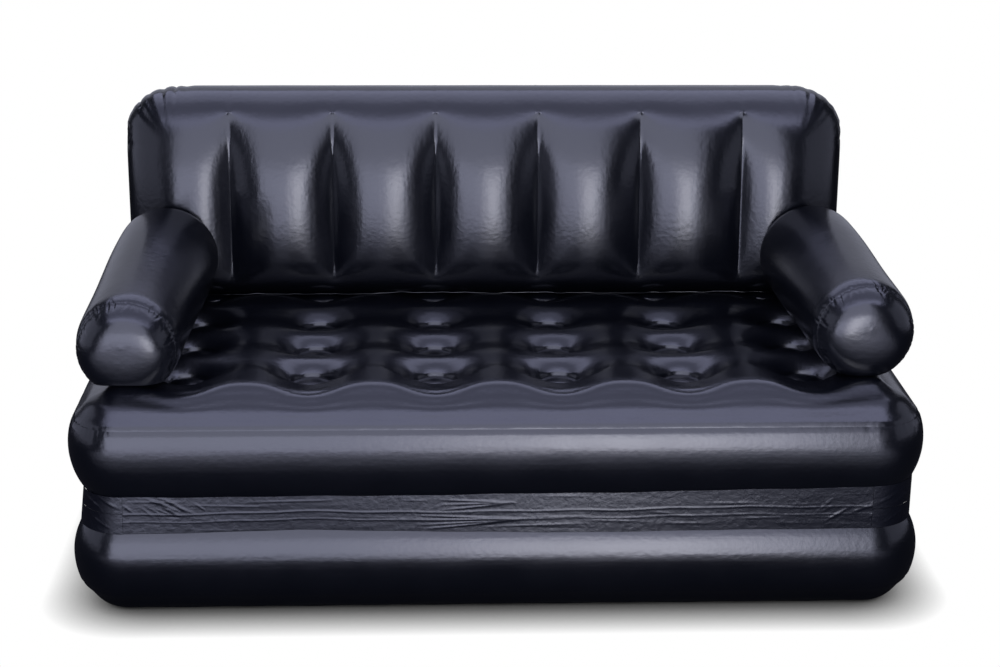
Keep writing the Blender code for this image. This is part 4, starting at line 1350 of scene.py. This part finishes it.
bpy.ops.mesh.primitive_plane_add(size=40, location=(0, 0, 0))
floor = bpy.context.object
floor.name = "studio_floor"
material, tree, shader = new_material("white_studio_floor")
shader.inputs["Base Color"].default_value = (0.02, 0.02, 0.02, 1)
shader.inputs["Roughness"].default_value = 1.0
shader.inputs["Specular IOR Level"].default_value = 0.0
# Painted contact shadow: camera rays see the floor glow white, darkened near the sofa by ambient occlusion
# rather than by the lamps; other rays see a near-black floor
painted_shadow_occlusion = add_node(tree, "ShaderNodeAmbientOcclusion", samples=16, Distance=painted_shadow_reach)
shade = add_node(tree, "ShaderNodeMath", [(0, painted_shadow_occlusion.outputs["AO"])], operation="POWER")
shade.inputs[1].default_value = painted_shadow_power
glow_with_painted_shadow = add_node(tree, "ShaderNodeEmission", [("Strength", shade.outputs[0])])
path = add_node(tree, "ShaderNodeLightPath")
choose = add_node(tree, "ShaderNodeMixShader", [(0, path.outputs["Is Camera Ray"]), (1, shader.outputs[0]),
                                                (2, glow_with_painted_shadow.outputs[0])])
tree.links.new(choose.outputs[0], tree.nodes["Material Output"].inputs["Surface"])
floor.data.materials.append(material)

world = bpy.data.worlds.new("studio")
bpy.context.scene.world = world
world.use_nodes = True
tree = world.node_tree
tree.nodes.clear()
path = add_node(tree, "ShaderNodeLightPath")
white = add_node(tree, "ShaderNodeBackground", Strength=1.0, Color=(1, 1, 1, 1))
dim = add_node(tree, "ShaderNodeBackground", Strength=0.05, Color=(0.75, 0.80, 1.0, 1))
choose = add_node(tree, "ShaderNodeMixShader", [(0, path.outputs["Is Camera Ray"]), (1, dim.outputs[0]),
                                                (2, white.outputs[0])])
add_node(tree, "ShaderNodeOutputWorld", [("Surface", choose.outputs[0])])


def soft_light(name, low, high, facing, brightness, colour):
    """Soft panel between two corners of a flat box; brightness is what a mirror shows of it."""
    low, high = Vector(low), Vector(high)
    turn = Vector(facing).to_track_quat("-Z", "Y")
    span = turn.inverted() @ (high - low)
    bpy.ops.object.light_add(type="AREA", location=(low + high) / 2, rotation=turn.to_euler())
    lamp = bpy.context.object
    lamp.name = name
    lamp.data.shape = "RECTANGLE"
    lamp.data.size, lamp.data.size_y = abs(span.x), abs(span.y)
    lamp.data.energy = brightness * math.pi * lamp.data.size * lamp.data.size_y
    lamp.data.color = to_linear(colour)[:3]
    lamp.visible_camera = False


rearward, forwards, rightward, leftward, upward, downward = (
    (0, 1, 0), (0, -1, 0), (1, 0, 0), (-1, 0, 0), (0, 0, 1), (0, 0, -1))
front_white, ceiling_white = "#dce0ff", "#d2d6ff"
soft_light("front_wall", (-1.95, -2.05, 0.02), (1.30, -2.05, 3.1), rearward, 1.6, front_white)
soft_light("front_wall_left", (-1.80, -2.06, 0.02), (1.05, -2.06, 3.1), rearward, 1.6, front_white)
soft_light("front_softbox", (-1.80, -2.04, 0.02), (0.95, -2.04, 0.95), rearward, 1.6, front_white)
# A ray passes only one of two panels in one plane, so each lies a little in front of the last
core_x, core_y, core_foot = 0.38, -2.03, 0.02
for k, (half_span, top) in enumerate(((0.58, 0.90), (0.44, 0.84), (0.30, 0.76), (0.17, 0.68))):
    y = core_y + 0.01 * k
    soft_light("front_core", (core_x - half_span, y, core_foot), (core_x + half_span, y, top), rearward, 1.3,
               "#fafaff")
for k, (near, brightness) in enumerate(((-0.80, 0.20), (-0.97, 0.30), (-1.15, 0.45), (-1.35, 0.80))):
    z = 0.01 + 0.003 * k
    soft_light("floor_card", (-1.9, -1.98, z), (1.38, near, z), upward, brightness, front_white)
soft_light("left_fill", (-2.6, -1.6, 0.2), (-2.6, 1.2, 2.0), rightward, 0.8, front_white)
soft_light("right_fill", (2.6, -2.0, 0.2), (2.6, 0.8, 2.0), leftward, 0.6, front_white)
soft_light("backdrop", (-3.5, 3.5, 0.05), (3.5, 3.5, 3.0), forwards, 0.5, "#e6e9ff")
soft_light("ceiling", (-2.4, -2.05, 3.13), (2.4, 3.4, 3.13), downward, 1.3, ceiling_white)
soft_light("ceiling_middle", (-2.4, -2.05, 3.12), (2.4, -0.65, 3.12), downward, 0.9, ceiling_white)
soft_light("ceiling_front", (-2.4, -2.05, 3.11), (2.4, -1.1, 3.11), downward, 1.6, ceiling_white)
soft_light("ceiling_rear", (-2.4, 0.6, 3.1), (2.4, 3.2, 3.1), downward, 0.8, "#d8dcff")

bpy.context.scene.view_settings.view_transform = "Standard"
